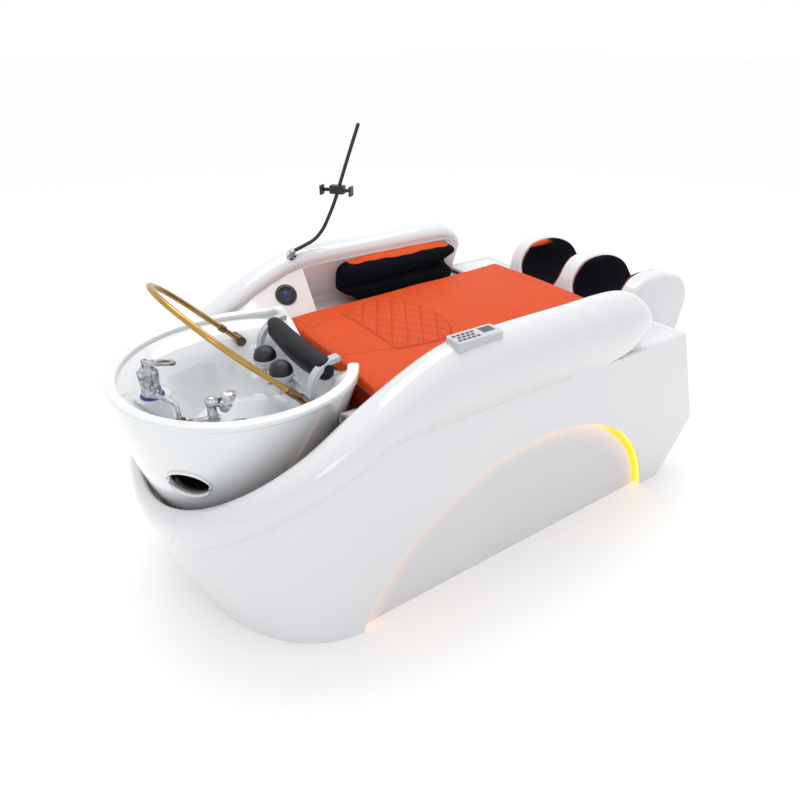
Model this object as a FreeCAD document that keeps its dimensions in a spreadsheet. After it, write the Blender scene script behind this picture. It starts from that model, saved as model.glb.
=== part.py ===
import FreeCAD, Part
import math
import os
from types import SimpleNamespace

import Sketcher
from FreeCAD import Matrix, Placement, Rotation, Vector

# Hair washing bed: white moulded hull with armrests, ceramic basin, mixer and
# shower, brass water hoop, neck rest, mattress, leg massager, control panel
# and phone holder.
# The origin is on the floor under the middle of the bed. +X points to the
# foot end, -Y to the side with the control panel, +Z up.

doc = FreeCAD.newDocument("HairWashingBed")
sheet = doc.addObject("Spreadsheet::Sheet", "Sizes")

# Driving sizes in millimetres, in one group for each piece that carries them
SIZES = {
    "shared": {
        "overrun": 20,
        "seat_gap": 0.2,
        "soft_gap": 0.3,
        "running_gap": 0.05,
    },
    "hull": {
        "hull_wall": 8,
        "hull_half_floor": 455,
        "hull_half_knee": 465,
        "hull_half_crease": 485,
        "knee_height": 235,
        "crease_height": 632,
        "bow_centre": 500,
        "bow_reach_floor": 335,
        "bow_reach_knee": 418,
        "bow_reach_crease": 480,
        "foot_floor": 808,
        "foot_knee": 920,
        "foot_crease": 711,
    },
    "side arch": {
        "arch_radius": 638,
        "arch_centre": 105,
        "arch_drop": 183,
        "arch_setback": 22,
        "arch_panel_thickness": 5,
        "arch_panel_margin": 18,
        "light_width": 9,
    },
    "levels, each from the crease under the armrest rail": {
        "rail_height_rise": 206,
        "nose_height_rise": 73,
        "bed_level_rise": -24,
        "panel_toe_level_rise": 8,
        "deck_level_rise": -2,
        "leg_bottom_rise": -162,
        "channel_floor_rise": -32,
        "skirt_bottom_rise": -347,
        "skirt_middle_rise": -182,
        "skirt_upper_rise": -32,
        "rim_start_rise": 58,
        "rim_level_rise": 67,
        "rim_horn_rise": 90,
        "bowl_floor_rise": -132,
        "bowl_waist_rise": -72,
        "bowl_shoulder_rise": 18,
        "recess_level_rise": -12,
        "oval_level_rise": -112,
        "boss_level_rise": 35,
        "holder_level_rise": 16,
        "grommet_level_rise": 4,
        "arm_level_rise": 2,
        "ball_level_rise": 32,
        "pillow_level_rise": 61,
        "hoop_level_rise": 24,
        "panel_seat_rise": 201,
        "clamp_spot_rise": 384,
        "mattress_low_rise": 5,
        "base_drop_rise": -87,
        "cushion_groove_rise": 72,
        "cushion_low_rise": -23,
        "cushion_top_rise": 148,
        "leg_crown_rise": 131,
    },
    "places in the basin, each from the rim's centre towards the head": {
        "rim_centre_shift": 110,
        "basin_centre_shift": 30,
        "basin_middle_shift": 22,
        "basin_upper_shift": 10,
        "boss_place_shift": 233,
        "holder_place_shift": 138,
        "grommet_place_shift": 202,
        "arm_centre_shift": -215,
        "ball_place_shift": -98,
        "pillow_place_shift": -179,
        "hoop_place_shift": -84,
    },
    "armrest rail": {
        "rail_wall": 8,
        "rail_kink": 235,
        "rail_kink_soft": 50,
        "rail_fall_length": 655,
        "rail_lip_depth": 115,
        "rail_soft": 14,
        "rail_bulge_side": 27,
        "rail_bulge_bow": 13,
        "rail_shoulder_side": 14,
        "rail_shoulder_bow": 8,
        "rail_crest_side": 35,
        "rail_crest_bow": 12,
        "rail_inner_side": 83,
        "rail_inner_bow": 26,
        "rail_inner_drop": 22,
        "rail_under_drop": 55,
        "nose_start": 340,
        "nose_length": 175,
        "nose_half": 470,
    },
    "bed tub": {
        "bed_half": 295,
        "bed_head": 340,
        "bed_foot": 560,
        "platform_thickness": 18,
        "liner_thickness": 6,
        "niche_head": 215,
        "panel_head": 466,
        "panel_toe_half": 304,
        "speaker_place": 300,
        "speaker_radius": 36,
        "speaker_hole": 32,
        "speaker_thickness": 7,
        "deck_thickness": 8,
        "deck_margin": 4,
    },
    "leg massager": {
        "leg_front": 648,
        "leg_back": 984,
        "leg_half": 300,
        "leg_wall": 8,
        "leg_toe": 966,
        "lobe_width": 62,
        "liner_pad": 12,
        "leg_room": 4,
        "leg_round": 20,
        "channel_round": 8,
    },
    "basin": {
        "skirt_head_low": 228,
        "skirt_head_middle": 280,
        "skirt_head_upper": 322,
        "rim_head": 337,
        "skirt_foot_low": 220,
        "skirt_foot_middle": 232,
        "skirt_foot_upper": 244,
        "rim_foot": 252,
        "skirt_half_low": 235,
        "skirt_half_middle": 283,
        "skirt_half_upper": 323,
        "rim_half": 340,
        "skirt_flat_low": 60,
        "skirt_flat_middle": 100,
        "skirt_flat_upper": 150,
        "rim_flat": 190,
        "skirt_wall": 9,
        "rim_width": 26,
        "rim_depth": 28,
        "bowl_wall": 10,
        "bowl_reach_floor": 150,
        "bowl_half_floor": 165,
        "bowl_reach_waist": 188,
        "bowl_half_waist": 205,
        "bowl_head_shoulder": 266,
        "bowl_foot_shoulder": 215,
        "bowl_half_shoulder": 248,
        "recess_half": 212,
        "recess_skin": 12,
        "oval_long": 54,
        "oval_short": 40,
        "boss_radius": 44,
        "holder_boss_radius": 28,
        "holder_side": 182,
        "grommet_side": 112,
        "grommet_boss_radius": 19,
        "waste_radius": 24,
        "waste_flange": 38,
        "waste_lip": 3,
        "waste_length": 120,
        "waste_bore": 20,
        "stand_radius": 90,
        "stand_wall": 4,
        "stand_flange": 120,
        "stand_plate": 6,
    },
    "mixer and shower": {
        "gasket_radius": 30,
        "gasket_bore": 18,
        "gasket_thickness": 4,
        "mixer_radius": 26,
        "mixer_waist": 23,
        "mixer_height": 52,
        "mixer_stem": 9,
        "mixer_stem_height": 16,
        "outlet_radius": 9,
        "outlet_reach": 34,
        "outlet_level": 20,
        "cap_radius": 26,
        "cap_height": 26,
        "lever_width": 30,
        "lever_thickness": 6,
        "lever_reach": 72,
        "lever_slot_width": 14,
        "lever_slot_start": 26,
        "lever_slot_end": 62,
        "lever_pin": 4,
        "coupling_radius": 11,
        "coupling_length": 16,
        "hose_diameter": 12,
        "grommet_radius": 15,
        "grommet_height": 8,
        "holder_radius": 15,
        "holder_neck": 13,
        "holder_height": 24,
        "holder_socket": 9,
        "wing_reach": 64,
        "wing_width": 15,
        "wing_thickness": 5,
        "wing_level": 16,
        "spray_stem": 8.6,
        "spray_handle": 12,
        "spray_stand": 34,
        "spray_bend": 15,
        "spray_arm": 34,
        "spray_radius": 29,
        "spray_depth": 26,
    },
    "neck rest": {
        "arm_radius": 80,
        "arm_thickness": 14,
        "arm_width": 26,
        "arm_side": 168,
        "bar_height": 24,
        "bar_depth": 16,
        "ball_radius": 33,
        "ball_side": 55,
        "cup_wall": 4,
        "cup_depth": 30,
        "pillow_half": 188,
        "pillow_depth": 23,
        "pillow_height": 33,
        "pillow_sag": 22,
        "pillow_crown": 7,
        "buckle_length": 26,
        "buckle_width": 20,
        "buckle_thickness": 3,
    },
    "water hoop": {
        "hoop_radius": 8,
        "hoop_wall": 1.2,
        "hoop_half": 215,
        "hoop_leg": 168,
        "hoop_lean": 46.5,
        "hoop_collar": 11.5,
        "hoop_collar_length": 30,
        "elbow_radius": 13,
        "elbow_length": 26,
        "pivot_radius": 7,
        "pivot_length": 7.5,
        "clamp_radius": 11,
        "clamp_length": 18,
        "clamp_place": 62,
    },
    "control panel": {
        "panel_place": 168,
        "panel_side": 455,
        "panel_length": 140,
        "panel_width": 54,
        "panel_height": 10,
        "panel_corner": 7,
        "display_length": 38,
        "display_width": 28,
        "display_depth": 2,
        "display_place": 40,
        "display_side": 6,
        "key_length": 8.5,
        "key_width": 6,
        "key_height": 5,
        "key_proud": 1.6,
        "key_travel": 1,
        "key_gap": 0.15,
        "key_pitch": 14,
        "key_rows": 13,
        "key_start": 56,
    },
    "phone holder": {
        "phone_place": 243,
        "phone_side": 418,
        "phone_tilt": 24.6,
        "phone_base_radius": 17,
        "phone_base_height": 12,
        "swivel_radius": 10,
        "swivel_height": 12,
        "swivel_pin": 4,
        "rod_radius": 6,
        "rod_reach": 270,
        "rod_height": 376,
        "clamp_span": 96,
        "clamp_body_width": 26,
        "clamp_body_depth": 16,
        "jaw_height": 30,
        "jaw_thickness": 7,
        "jaw_rail": 5,
    },
    "mattress": {
        "mattress_head": 353,
        "mattress_foot": 566,
        "mattress_half": 288,
        "mattress_head_height": 24,
        "mattress_foot_height": 50,
        "mattress_crown": 9,
        "mattress_edge": 10,
        "mattress_side": 5,
        "groove_depth": 2.5,
        "groove_width": 3,
        "quilt_head": 178,
        "quilt_foot": 55,
        "quilt_half": 193,
        "quilt_side": 38,
        "quilt_long": 56,
        "quilt_wide": 88,
    },
    "arm cushions": {
        "cushion_start": 82,
        "cushion_end": 428,
        "cushion_inner": 318,
        "cushion_lobe": 9,
        "cushion_nip": 16,
        "cushion_round": 30,
    },
    "frame": {
        "frame_tube": 40,
        "frame_half": 250,
        "frame_head": 720,
        "frame_foot": 700,
        "frame_low": 30,
        "foot_radius": 28,
        "foot_stem": 8,
        "foot_pad": 12,
        "shelf_half": 270,
        "pump_length": 180,
        "pump_radius": 55,
    },
}

# A length that carries its number together with the cell formula behind it,
# so that one sum drives both sketches and expressions
class Dim:
    def __init__(self, value, text):
        self.value = float(value)
        self.text = text

    def joined(self, other, sign, value):
        return Dim(value, "(%s %s %s)" % (self.text, sign, other.text))

    def __float__(self):
        return self.value

    def __add__(self, other):
        other = dim(other)
        return self.joined(other, "+", self.value + other.value)

    def __sub__(self, other):
        other = dim(other)
        return self.joined(other, "-", self.value - other.value)

    def __mul__(self, other):
        other = dim(other)
        return self.joined(other, "*", self.value * other.value)

    def __truediv__(self, other):
        other = dim(other)
        return self.joined(other, "/", self.value / other.value)

    def __rsub__(self, other):
        return dim(other) - self

    def __neg__(self):
        return Dim(-self.value, "(-%s)" % self.text)

    __radd__ = __add__
    __rmul__ = __mul__


def dim(value):
    return value if isinstance(value, Dim) else Dim(value, repr(float(value)))


ZERO = dim(0)


# s holds every size with its formula, n the same sizes as bare numbers
def fill_sheet():
    row = 0
    for group, cells in SIZES.items():
        row += 1
        sheet.set("A%d" % row, group)
        for alias, number in cells.items():
            row += 1
            sheet.set("A%d" % row, alias)
            sheet.set("B%d" % row, str(number))
            sheet.setAlias("B%d" % row, alias)
    doc.recompute()


fill_sheet()
names = [alias for cells in SIZES.values() for alias in cells]
s = SimpleNamespace(**{name: Dim(sheet.get(name), "Sizes." + name) for name in names})
n = SimpleNamespace(**{name: float(sheet.get(name)) for name in names})


# Levels follow the crease, and the rim's centre and what it carries the bow
def follow(name, length):
    setattr(s, name, length)
    setattr(n, name, float(length))


for name in names:
    if name.endswith("_rise"):
        follow(name.removesuffix("_rise"), s.crease_height + getattr(s, name))
follow("rim_centre", s.bow_centre + s.rim_centre_shift)
for name in names:
    if name.endswith("_shift") and name != "rim_centre_shift":
        follow(name.removesuffix("_shift"), s.rim_centre + getattr(s, name))


nodes = []
ALONG_X = Rotation(Vector(0, 1, 0), 90)


# Document helpers
def keep(piece, label):
    piece.Label = label
    nodes.append(piece)
    return piece


def bind(piece, **formulas):
    for name, length in formulas.items():
        piece.setExpression(name, dim(length).text)


def place(piece, x, y, z, turn=None):
    piece.Placement = Placement(Vector(), turn or Rotation())
    for axis, length in zip("xyz", (x, y, z)):
        piece.setExpression("Placement.Base." + axis, dim(length).text)
    return piece


def box(name, x0, x1, y0, y1, z0, z1):
    piece = doc.addObject("Part::Box", name)
    bind(piece, Length=dim(x1) - x0, Width=dim(y1) - y0, Height=dim(z1) - z0)
    return place(piece, x0, y0, z0)


def cylinder(name, radius, height, x, y, z, turn=None):
    piece = doc.addObject("Part::Cylinder", name)
    bind(piece, Radius=radius, Height=height)
    return place(piece, x, y, z, turn)


def cut(name, base, tool):
    piece = doc.addObject("Part::Cut", name)
    piece.Base = base
    piece.Tool = tool
    return piece


def fuse(name, parts):
    piece = doc.addObject("Part::MultiFuse", name)
    piece.Shapes = parts
    return piece


def group(name, parts):
    piece = doc.addObject("Part::Compound", name)
    piece.Links = parts
    return piece


def feature(name, shape):
    piece = doc.addObject("Part::Feature", name)
    piece.Shape = shape
    return piece


# A closed outline in a sketch, each corner held by its two distances
def outline(sketch, points):
    count = len(points)
    corners = [Vector(float(u), float(w), 0) for u, w in points]
    for i in range(count):
        sketch.addGeometry(Part.LineSegment(corners[i], corners[(i + 1) % count]), False)
    for i in range(count):
        sketch.addConstraint(Sketcher.Constraint("Coincident", i, 2, (i + 1) % count, 1))
    for i, corner in enumerate(points):
        for kind, axis, length in zip(("DistanceX", "DistanceY"), (-2, -1), corner):
            length = dim(length)
            if float(length) == 0:
                sketch.addConstraint(Sketcher.Constraint("PointOnObject", i, 1, axis))
                continue
            spot = sketch.addConstraint(Sketcher.Constraint(kind, -1, 1, i, 1, float(length)))
            sketch.setExpression("Constraints[%d]" % spot, length.text)


def sketch_in(body, role):
    sketch = body.newObject("Sketcher::SketchObject", body.Name + "Sketch")
    plane = [item for item in body.Origin.OriginFeatures if item.Role == role][0]
    sketch.AttachmentSupport = [(plane, "")]
    sketch.MapMode = "FlatFace"
    return sketch


# A turned piece: the points are radius and height, spun about the body's Z
def turned(name, points):
    body = doc.addObject("PartDesign::Body", name)
    sketch = sketch_in(body, "XZ_Plane")
    outline(sketch, points)
    spin = body.newObject("PartDesign::Revolution", name + "Turn")
    spin.Profile = sketch
    spin.ReferenceAxis = (sketch, ["V_Axis"])
    spin.Angle = 360
    return body


# A flat piece: an outline in the body's XY plane, padded upwards
def padded(name, points, height):
    body = doc.addObject("PartDesign::Body", name)
    sketch = sketch_in(body, "XY_Plane")
    outline(sketch, points)
    pad = body.newObject("PartDesign::Pad", name + "Pad")
    pad.Profile = sketch
    pad.setExpression("Length", dim(height).text)
    return body


# Curve helpers
def stretched(edge, reach_x, reach_y, centre):
    matrix = Matrix()
    matrix.scale(reach_x, reach_y, 1)
    matrix.move(centre)
    return edge.transformGeometry(matrix).Edges[0]


def unit_arc(start, end):
    circle = Part.Circle(Vector(), Vector(0, 0, 1), 1)
    return Part.ArcOfCircle(circle, math.radians(start), math.radians(end)).toShape()


def line(a, b):
    return Part.LineSegment(a, b).toShape()


def spline(points):
    curve = Part.BSplineCurve()
    curve.interpolate(points)
    return curve.toShape()


def slab(wire, direction):
    return Part.Face(wire).extrude(direction)


def between(low, high, share):
    return low + (high - low) * share


# Tools come off one after another, each a single solid
def carved(shape, tools):
    for tool in tools:
        shape = shape.cut(tool)
    return shape


# Hull: level outlines with straight sides, an oval bow and a straight foot
def hull_size(level):
    levels = [0, n.knee_height, n.crease_height]
    halves = [n.hull_half_floor, n.hull_half_knee, n.hull_half_crease]
    reaches = [n.bow_reach_floor, n.bow_reach_knee, n.bow_reach_crease]
    feet = [n.foot_floor, n.foot_knee, n.foot_crease]
    low = 0 if level < levels[1] else 1
    share = (level - levels[low]) / (levels[low + 1] - levels[low])
    share = min(max(share, 0), 1)
    return [between(row[low], row[low + 1], share) for row in (halves, reaches, feet)]


def hull_outline(level, size_level, inset):
    half, reach, foot = [size - inset for size in hull_size(size_level)]
    bow = -n.bow_centre
    arc = stretched(unit_arc(90, 270), reach, half, Vector(bow, 0, level))
    corners = [Vector(bow, -half, level), Vector(foot, -half, level),
               Vector(foot, half, level), Vector(bow, half, level)]
    sides = [line(a, b) for a, b in zip(corners, corners[1:])]
    return Part.Wire([arc] + sides)


def hull_solid(inset, extra):
    low = hull_outline(-extra, 0, inset)
    floor = hull_outline(0, 0, inset)
    knee = hull_outline(n.knee_height, n.knee_height, inset)
    crease = hull_outline(n.crease_height, n.crease_height, inset)
    high = hull_outline(n.crease_height + extra, n.crease_height, inset)
    wires = [low, floor, knee, crease, high] if extra else [floor, knee, crease]
    return Part.makeLoft(wires, True, True)


# Armrest rail: a station is a place along the rail, either x on the straight
# side or an angle round the bow, counted from the near side
RAIL_BULGE_SHARE = 0.33
RAIL_SHOULDER_SHARE = 0.16
RAIL_SLOPE_SHARE = 0.36
RAIL_CURVE_SHARE = 0.295
NOSE_SHARES = [0.97, 0.82, 0.6, 0.3]
SIDE_SHARES = [0, 0.14, 0.28, 0.4, 0.5, 0.59, 0.68, 0.77, 0.86, 0.93]
BOW_ANGLES = [0, 15, 30, 45, 60, 75, 90, 105, 120, 135, 150, 165, 180]


def rail_levels(fall):
    share = (fall + math.sqrt(fall ** 2 + n.rail_kink_soft ** 2)) / 2 / n.rail_fall_length
    drop = n.rail_fall_length * (RAIL_SLOPE_SHARE * share + RAIL_CURVE_SHARE * share ** 2)
    crest = n.rail_height - drop
    lip = crest - n.rail_lip_depth
    gap = n.crease_height - lip
    crease = (n.crease_height + lip - math.sqrt(gap ** 2 + n.rail_soft ** 2)) / 2
    return crease, crest


def rail_offsets(share):
    sides = [0, n.rail_bulge_side, n.rail_shoulder_side, -n.rail_crest_side,
             -n.rail_inner_side, -n.rail_inner_side - n.rail_wall / 2]
    bows = [0, n.rail_bulge_bow, n.rail_shoulder_bow, -n.rail_crest_bow,
            -n.rail_inner_bow, -n.rail_inner_bow - n.rail_wall / 2]
    return [between(side, bow, share) for side, bow in zip(sides, bows)]


def rail_points(x, angle=None):
    turn = math.radians(angle or 0)
    reach_share = math.sin(turn)
    last_fall = n.bow_centre - n.rail_kink
    fall = between(last_fall, n.rail_fall_length, reach_share) if x is None else -x - n.rail_kink
    crease, crest = rail_levels(fall)
    half, reach, foot = hull_size(crease)
    depth = crest - crease
    levels = [crease, crease + depth * RAIL_BULGE_SHARE, crest - depth * RAIL_SHOULDER_SHARE,
              crest, crest - n.rail_inner_drop, crest - n.rail_under_drop]
    points = []
    for offset, level in zip(rail_offsets(reach_share), levels):
        along = x if x is not None else -n.bow_centre - (reach + offset) * reach_share
        across = -(half + offset) * math.cos(turn)
        points.append(Vector(along, across, level))
    return points


def nose_points(share):
    centre = Vector(n.nose_start + n.nose_length * share, -n.nose_half, n.nose_height)
    shrink = math.sqrt(1 - share ** 2)
    points = rail_points(n.nose_start)
    return [centre + (p - Vector(n.nose_start, centre.y, centre.z)) * shrink for p in points]


def mirrored(points):
    return [Vector(p.x, -p.y, p.z) for p in points]


def shrunk(points, wall):
    middle = sum(points[1:], points[0]) * (1 / len(points))
    return [p + (middle - p).normalize() * wall for p in points]


def rail_wire(points):
    return Part.Wire([spline(points), line(points[-1], points[0])])


def rail_stations():
    sides = [between(n.nose_start, -n.bow_centre, share) for share in SIDE_SHARES]
    near = [nose_points(share) for share in NOSE_SHARES] + [rail_points(x) for x in sides]
    bow = [rail_points(None, angle) for angle in BOW_ANGLES]
    far = [mirrored(points) for points in reversed(near)]
    return near + bow + far


def rail_shape():
    stations = rail_stations()
    outer = Part.makeLoft([rail_wire(points) for points in stations], True, False)
    hollow = [rail_wire(shrunk(points, n.rail_wall)) for points in stations[3:-3]]
    return outer.cut(Part.makeLoft(hollow, True, False))


# The hull's top edge follows the rail's crease down round the bow
def above_crease():
    places = [between(n.nose_start, -n.bow_centre, share) for share in SIDE_SHARES]
    side = [rail_points(x)[0] for x in places]
    bow = [rail_points(None, angle)[0] for angle in BOW_ANGLES if angle <= 90]
    half = n.hull_half_crease + n.overrun
    edge = [Vector(p.x, -half, p.z - n.seat_gap) for p in side + bow]
    first, last = edge[0], edge[-1]
    top = n.crease_height + 2 * n.overrun
    head = -n.bow_centre - n.bow_reach_crease - n.overrun
    foot = n.foot_crease + n.overrun
    corners = [last, Vector(head, -half, last.z), Vector(head, -half, top),
               Vector(foot, -half, top), Vector(foot, -half, first.z), first]
    sides = [line(a, b) for a, b in zip(corners, corners[1:])]
    return slab(Part.Wire([spline(edge)] + sides), Vector(0, 2 * half, 0))


def arch_tool(radius):
    half = n.hull_half_crease + n.overrun
    centre = Vector(n.arch_centre, -half, -n.arch_drop)
    return Part.makeCylinder(radius, 2 * half, centre, Vector(0, 1, 0))


def leg_notch(room):
    half = n.leg_half + room
    return Part.makeBox(n.leg_back, 2 * half, n.leg_back,
                        Vector(n.leg_front - room, -half, n.leg_bottom - room))


def hull_shape():
    ring = hull_solid(0, 0).cut(hull_solid(n.hull_wall, n.overrun))
    return carved(ring, [above_crease(), arch_tool(n.arch_radius), leg_notch(n.leg_room)])


def arch_panels():
    back = n.arch_setback + n.arch_panel_thickness
    ring = hull_solid(n.arch_setback, 0).cut(hull_solid(back, n.overrun))
    return ring.common(arch_tool(n.arch_radius + n.arch_panel_margin))


def light_strips():
    ring = hull_solid(n.hull_wall + n.seat_gap, 0)
    ring = ring.cut(hull_solid(n.arch_setback - n.seat_gap, n.overrun))
    band = arch_tool(n.arch_radius + n.light_width).cut(arch_tool(n.arch_radius))
    return ring.common(band)


keep(feature("HullShell", hull_shape()), "hull_shell")
keep(feature("ArmrestRail", rail_shape()), "armrest_rail")
keep(feature("ArchPanels", arch_panels()), "arch_panels")
keep(feature("LightStrips", light_strips()), "light_strips")


# Levels on the hull's inner wall, from its half width between knee and crease
def wall_half(level):
    rise = s.crease_height - s.knee_height
    lean = (s.hull_half_crease - s.hull_half_knee) * (s.crease_height - level) / rise
    return s.hull_half_crease - lean - s.hull_wall


# Foot deck, a plate that closes the hull round the mattress and the massager
LINER_SHARES = [0.9, 0.75, 0.5, 0.25]
deck_low = s.deck_level - s.deck_thickness
deck_half = wall_half(deck_low) - s.seat_gap
liner_end = s.nose_start + s.nose_length * LINER_SHARES[0]
deck_start = liner_end + s.seat_gap
deck_end = s.foot_crease - s.hull_wall - s.seat_gap
deck_cut = s.mattress_foot + s.deck_margin
deck_plate = box("DeckPlate", deck_start, deck_end, -deck_half, deck_half, deck_low, s.deck_level)
deck_bed = box("DeckBed", deck_start - s.overrun, deck_cut, -s.bed_half, s.bed_half,
               deck_low - s.overrun, s.deck_level + s.overrun)
leg_front = s.leg_front - s.leg_room
leg_half = s.leg_half + s.leg_room
deck_leg = box("DeckLeg", leg_front, deck_end + s.overrun, -leg_half, leg_half,
               deck_low - s.overrun, s.deck_level + s.overrun)
keep(cut("FootDeck", cut("DeckOpen", deck_plate, deck_bed), deck_leg), "foot_deck")

platform_half = s.bed_half - s.seat_gap
platform_low = s.bed_level - s.platform_thickness
keep(box("BedPlatform", -s.bed_head, s.bed_foot, -platform_half, platform_half,
         platform_low, s.bed_level), "bed_platform")


# Side liners: a channel under each armrest, closed at its head end, and a
# sloping panel with a speaker from there to the basin
def liner_section(points):
    floor = n.bed_level - n.liner_thickness
    wall = float(wall_half(floor)) - n.seat_gap
    top = points[-1] - Vector(0, n.seat_gap, 0)
    x = top.x
    skin = n.liner_thickness
    corners = [(n.bed_half, floor), (wall, floor), (wall, n.crease_height), (top.y, top.z),
               (top.y - skin, top.z), (wall - skin, n.crease_height),
               (wall - skin, n.bed_level), (n.bed_half, n.bed_level)]
    return Part.makePolygon([Vector(x, y, z) for y, z in corners + corners[:1]])


def far_points(x):
    return mirrored(rail_points(x))


def liner_channel():
    sides = [-n.niche_head, -n.niche_head / 2, 0, n.nose_start / 2, n.nose_start]
    rows = [far_points(x) for x in sides]
    rows += [mirrored(nose_points(share)) for share in reversed(LINER_SHARES)]
    return Part.makeLoft([liner_section(points) for points in rows], True, True)


def liner_head_wall():
    floor = n.bed_level - n.liner_thickness
    wall = float(wall_half(floor)) - n.seat_gap
    x = -n.niche_head - n.liner_thickness
    top = far_points(x)[-1] - Vector(0, n.seat_gap, 0)
    corners = [(n.bed_half, floor), (wall, floor), (wall, n.crease_height), (top.y, top.z),
               (n.panel_toe_half, n.panel_toe_level)]
    wire = Part.makePolygon([Vector(x, y, z) for y, z in corners + corners[:1]])
    return slab(wire, Vector(n.liner_thickness, 0, 0))


PANEL_SHARES = [0, 0.2, 0.45, 0.7, 1]


def panel_section(x):
    top = far_points(x)[-1] - Vector(0, n.seat_gap, 0)
    skin = n.liner_thickness
    toe, level = n.panel_toe_half, n.panel_toe_level
    corners = [(top.y, top.z), (toe, level), (n.bed_half, n.bed_level),
               (n.bed_half + skin, n.bed_level), (toe + skin, level - skin / 2),
               (top.y, top.z - 2 * skin)]
    return Part.makePolygon([Vector(x, y, z) for y, z in corners + corners[:1]])


# The speaker's seat: its centre on the sloping panel and the panel's normal
SPEAKER_SHARE = 0.6


def panel_spot(x):
    top = far_points(x)[-1]
    toe = Vector(x, n.panel_toe_half, n.panel_toe_level)
    return toe + (top - toe) * SPEAKER_SHARE, top - toe


def speaker_frame():
    centre, rise = panel_spot(-n.speaker_place)
    ahead = panel_spot(n.speaker_radius - n.speaker_place)[0]
    behind = panel_spot(-n.speaker_radius - n.speaker_place)[0]
    return centre, (ahead - behind).cross(rise).normalize()


def side_liner():
    start, end = -n.niche_head - n.liner_thickness, -n.panel_head
    rows = [panel_section(between(start, end, share)) for share in PANEL_SHARES]
    panel = Part.makeLoft(rows, True, True)
    centre, normal = speaker_frame()
    hole = Part.makeCylinder(n.speaker_hole + n.seat_gap, 2 * n.overrun,
                             centre - normal * n.overrun, normal)
    seat = Part.makeCylinder(n.speaker_radius + n.seat_gap, n.overrun,
                             centre - normal * n.seat_gap, normal)
    liner = liner_channel().fuse([liner_head_wall(), panel])
    return carved(liner, [hole, seat]).removeSplitter()


def both_sides(shape):
    return Part.makeCompound([shape, shape.mirror(Vector(), Vector(0, 1, 0))])


keep(feature("SideLiners", both_sides(side_liner())), "side_liners")


# Speakers: a ring with a sunk grille, its body through the panel
SPEAKER_RIM_SHARE = 0.72


def speaker(name, side):
    half = s.speaker_thickness / 2
    rim = s.speaker_radius * SPEAKER_RIM_SHARE
    piece = turned(name, [(ZERO, -s.overrun), (s.speaker_hole, -s.overrun), (s.speaker_hole, ZERO),
                          (s.speaker_radius, ZERO), (s.speaker_radius, half),
                          (rim, s.speaker_thickness), (rim - half, half), (ZERO, half)])
    centre, normal = speaker_frame()
    axis = Vector(normal.x, side * normal.y, normal.z)
    turn = Rotation(Vector(0, 0, 1), axis)
    piece.Placement = Placement(Vector(centre.x, side * centre.y, centre.z), turn)
    return piece


keep(group("Speakers", [speaker("SpeakerNear", -1), speaker("SpeakerFar", 1)]), "speakers")


# Leg massager: three lobes over a belly, with a lined channel for each leg
LEG_SIDE_SHARES = [(0, 0.55), (0.035, 0.75), (0.14, 0.93), (0.378, 1), (0.69, 0.94),
                   (0.88, 0.83), (0.975, 0.68), (1, 0.48)]


def leg_side(inset):
    front, back = n.leg_front + inset, n.leg_back - inset
    bottom, crown = n.leg_bottom, n.leg_crown - inset
    curve = [Vector(between(front, back, along), 0, between(bottom, crown, up))
             for along, up in LEG_SIDE_SHARES]
    toe, base = Vector(n.leg_toe - inset, 0, bottom), Vector(front, 0, bottom)
    wire = Part.Wire([line(base, curve[0]), spline(curve), line(curve[-1], toe), line(toe, base)])
    wire.translate(Vector(0, -n.leg_half, 0))
    return slab(wire, Vector(0, 2 * n.leg_half, 0))


def leg_trough(side, shrink):
    lobe = n.lobe_width
    radius = (n.leg_half - lobe * 1.5) / 2
    centre = Vector(n.leg_front - n.overrun, side * (lobe / 2 + radius), n.channel_floor + radius)
    across = Vector(0, radius - shrink, 0)
    down = Vector(0, 0, radius - shrink)
    up = Vector(0, 0, n.leg_crown - n.channel_floor)
    left, right = centre - across, centre + across
    edges = [Part.Arc(left, centre - down, right).toShape(), line(right, right + up),
             line(right + up, left + up), line(left + up, left)]
    return slab(Part.Wire(edges), Vector(n.leg_back - n.leg_front + 2 * n.overrun, 0, 0))


# Edges that run over the lobes: curved ones, or straight ones across them
def leg_rims(block, side):
    rims = []
    for edge in block.Edges:
        room = edge.BoundBox
        outside = room.YMax < -side or room.YMin > side
        low = room.ZMax < n.channel_floor - n.seat_gap
        level = edge.Curve.TypeId == "Part::GeomLine" and room.YLength < n.seat_gap
        if outside == (side > n.leg_half - n.lobe_width) and not low and not level:
            rims.append(edge)
    return rims


# Outer edges and channel edges of the three lobes are rounded
def leg_block():
    block = leg_side(0)
    block = block.makeFillet(n.leg_round, leg_rims(block, n.leg_half - n.seat_gap))
    block = carved(block, [leg_trough(-1, 0), leg_trough(1, 0)])
    return block.makeFillet(n.channel_round, leg_rims(block, n.leg_half - n.lobe_width))


def leg_shell():
    wall = n.leg_wall
    room = Part.makeBox(n.leg_back, 2 * (n.leg_half - wall), n.leg_crown,
                        Vector(0, wall - n.leg_half, 0))
    hollow = leg_side(wall).common(room)
    hollow = carved(hollow, [leg_trough(-1, -wall), leg_trough(1, -wall)])
    return leg_block().cut(hollow)


def leg_liner(side):
    sleeve = leg_trough(side, n.seat_gap).cut(leg_trough(side, n.liner_pad))
    return leg_side(n.leg_room).common(sleeve)


keep(feature("LegShell", leg_shell()), "leg_shell")
keep(feature("LegLiners", Part.makeCompound([leg_liner(-1), leg_liner(1)])), "leg_liners")


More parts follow.
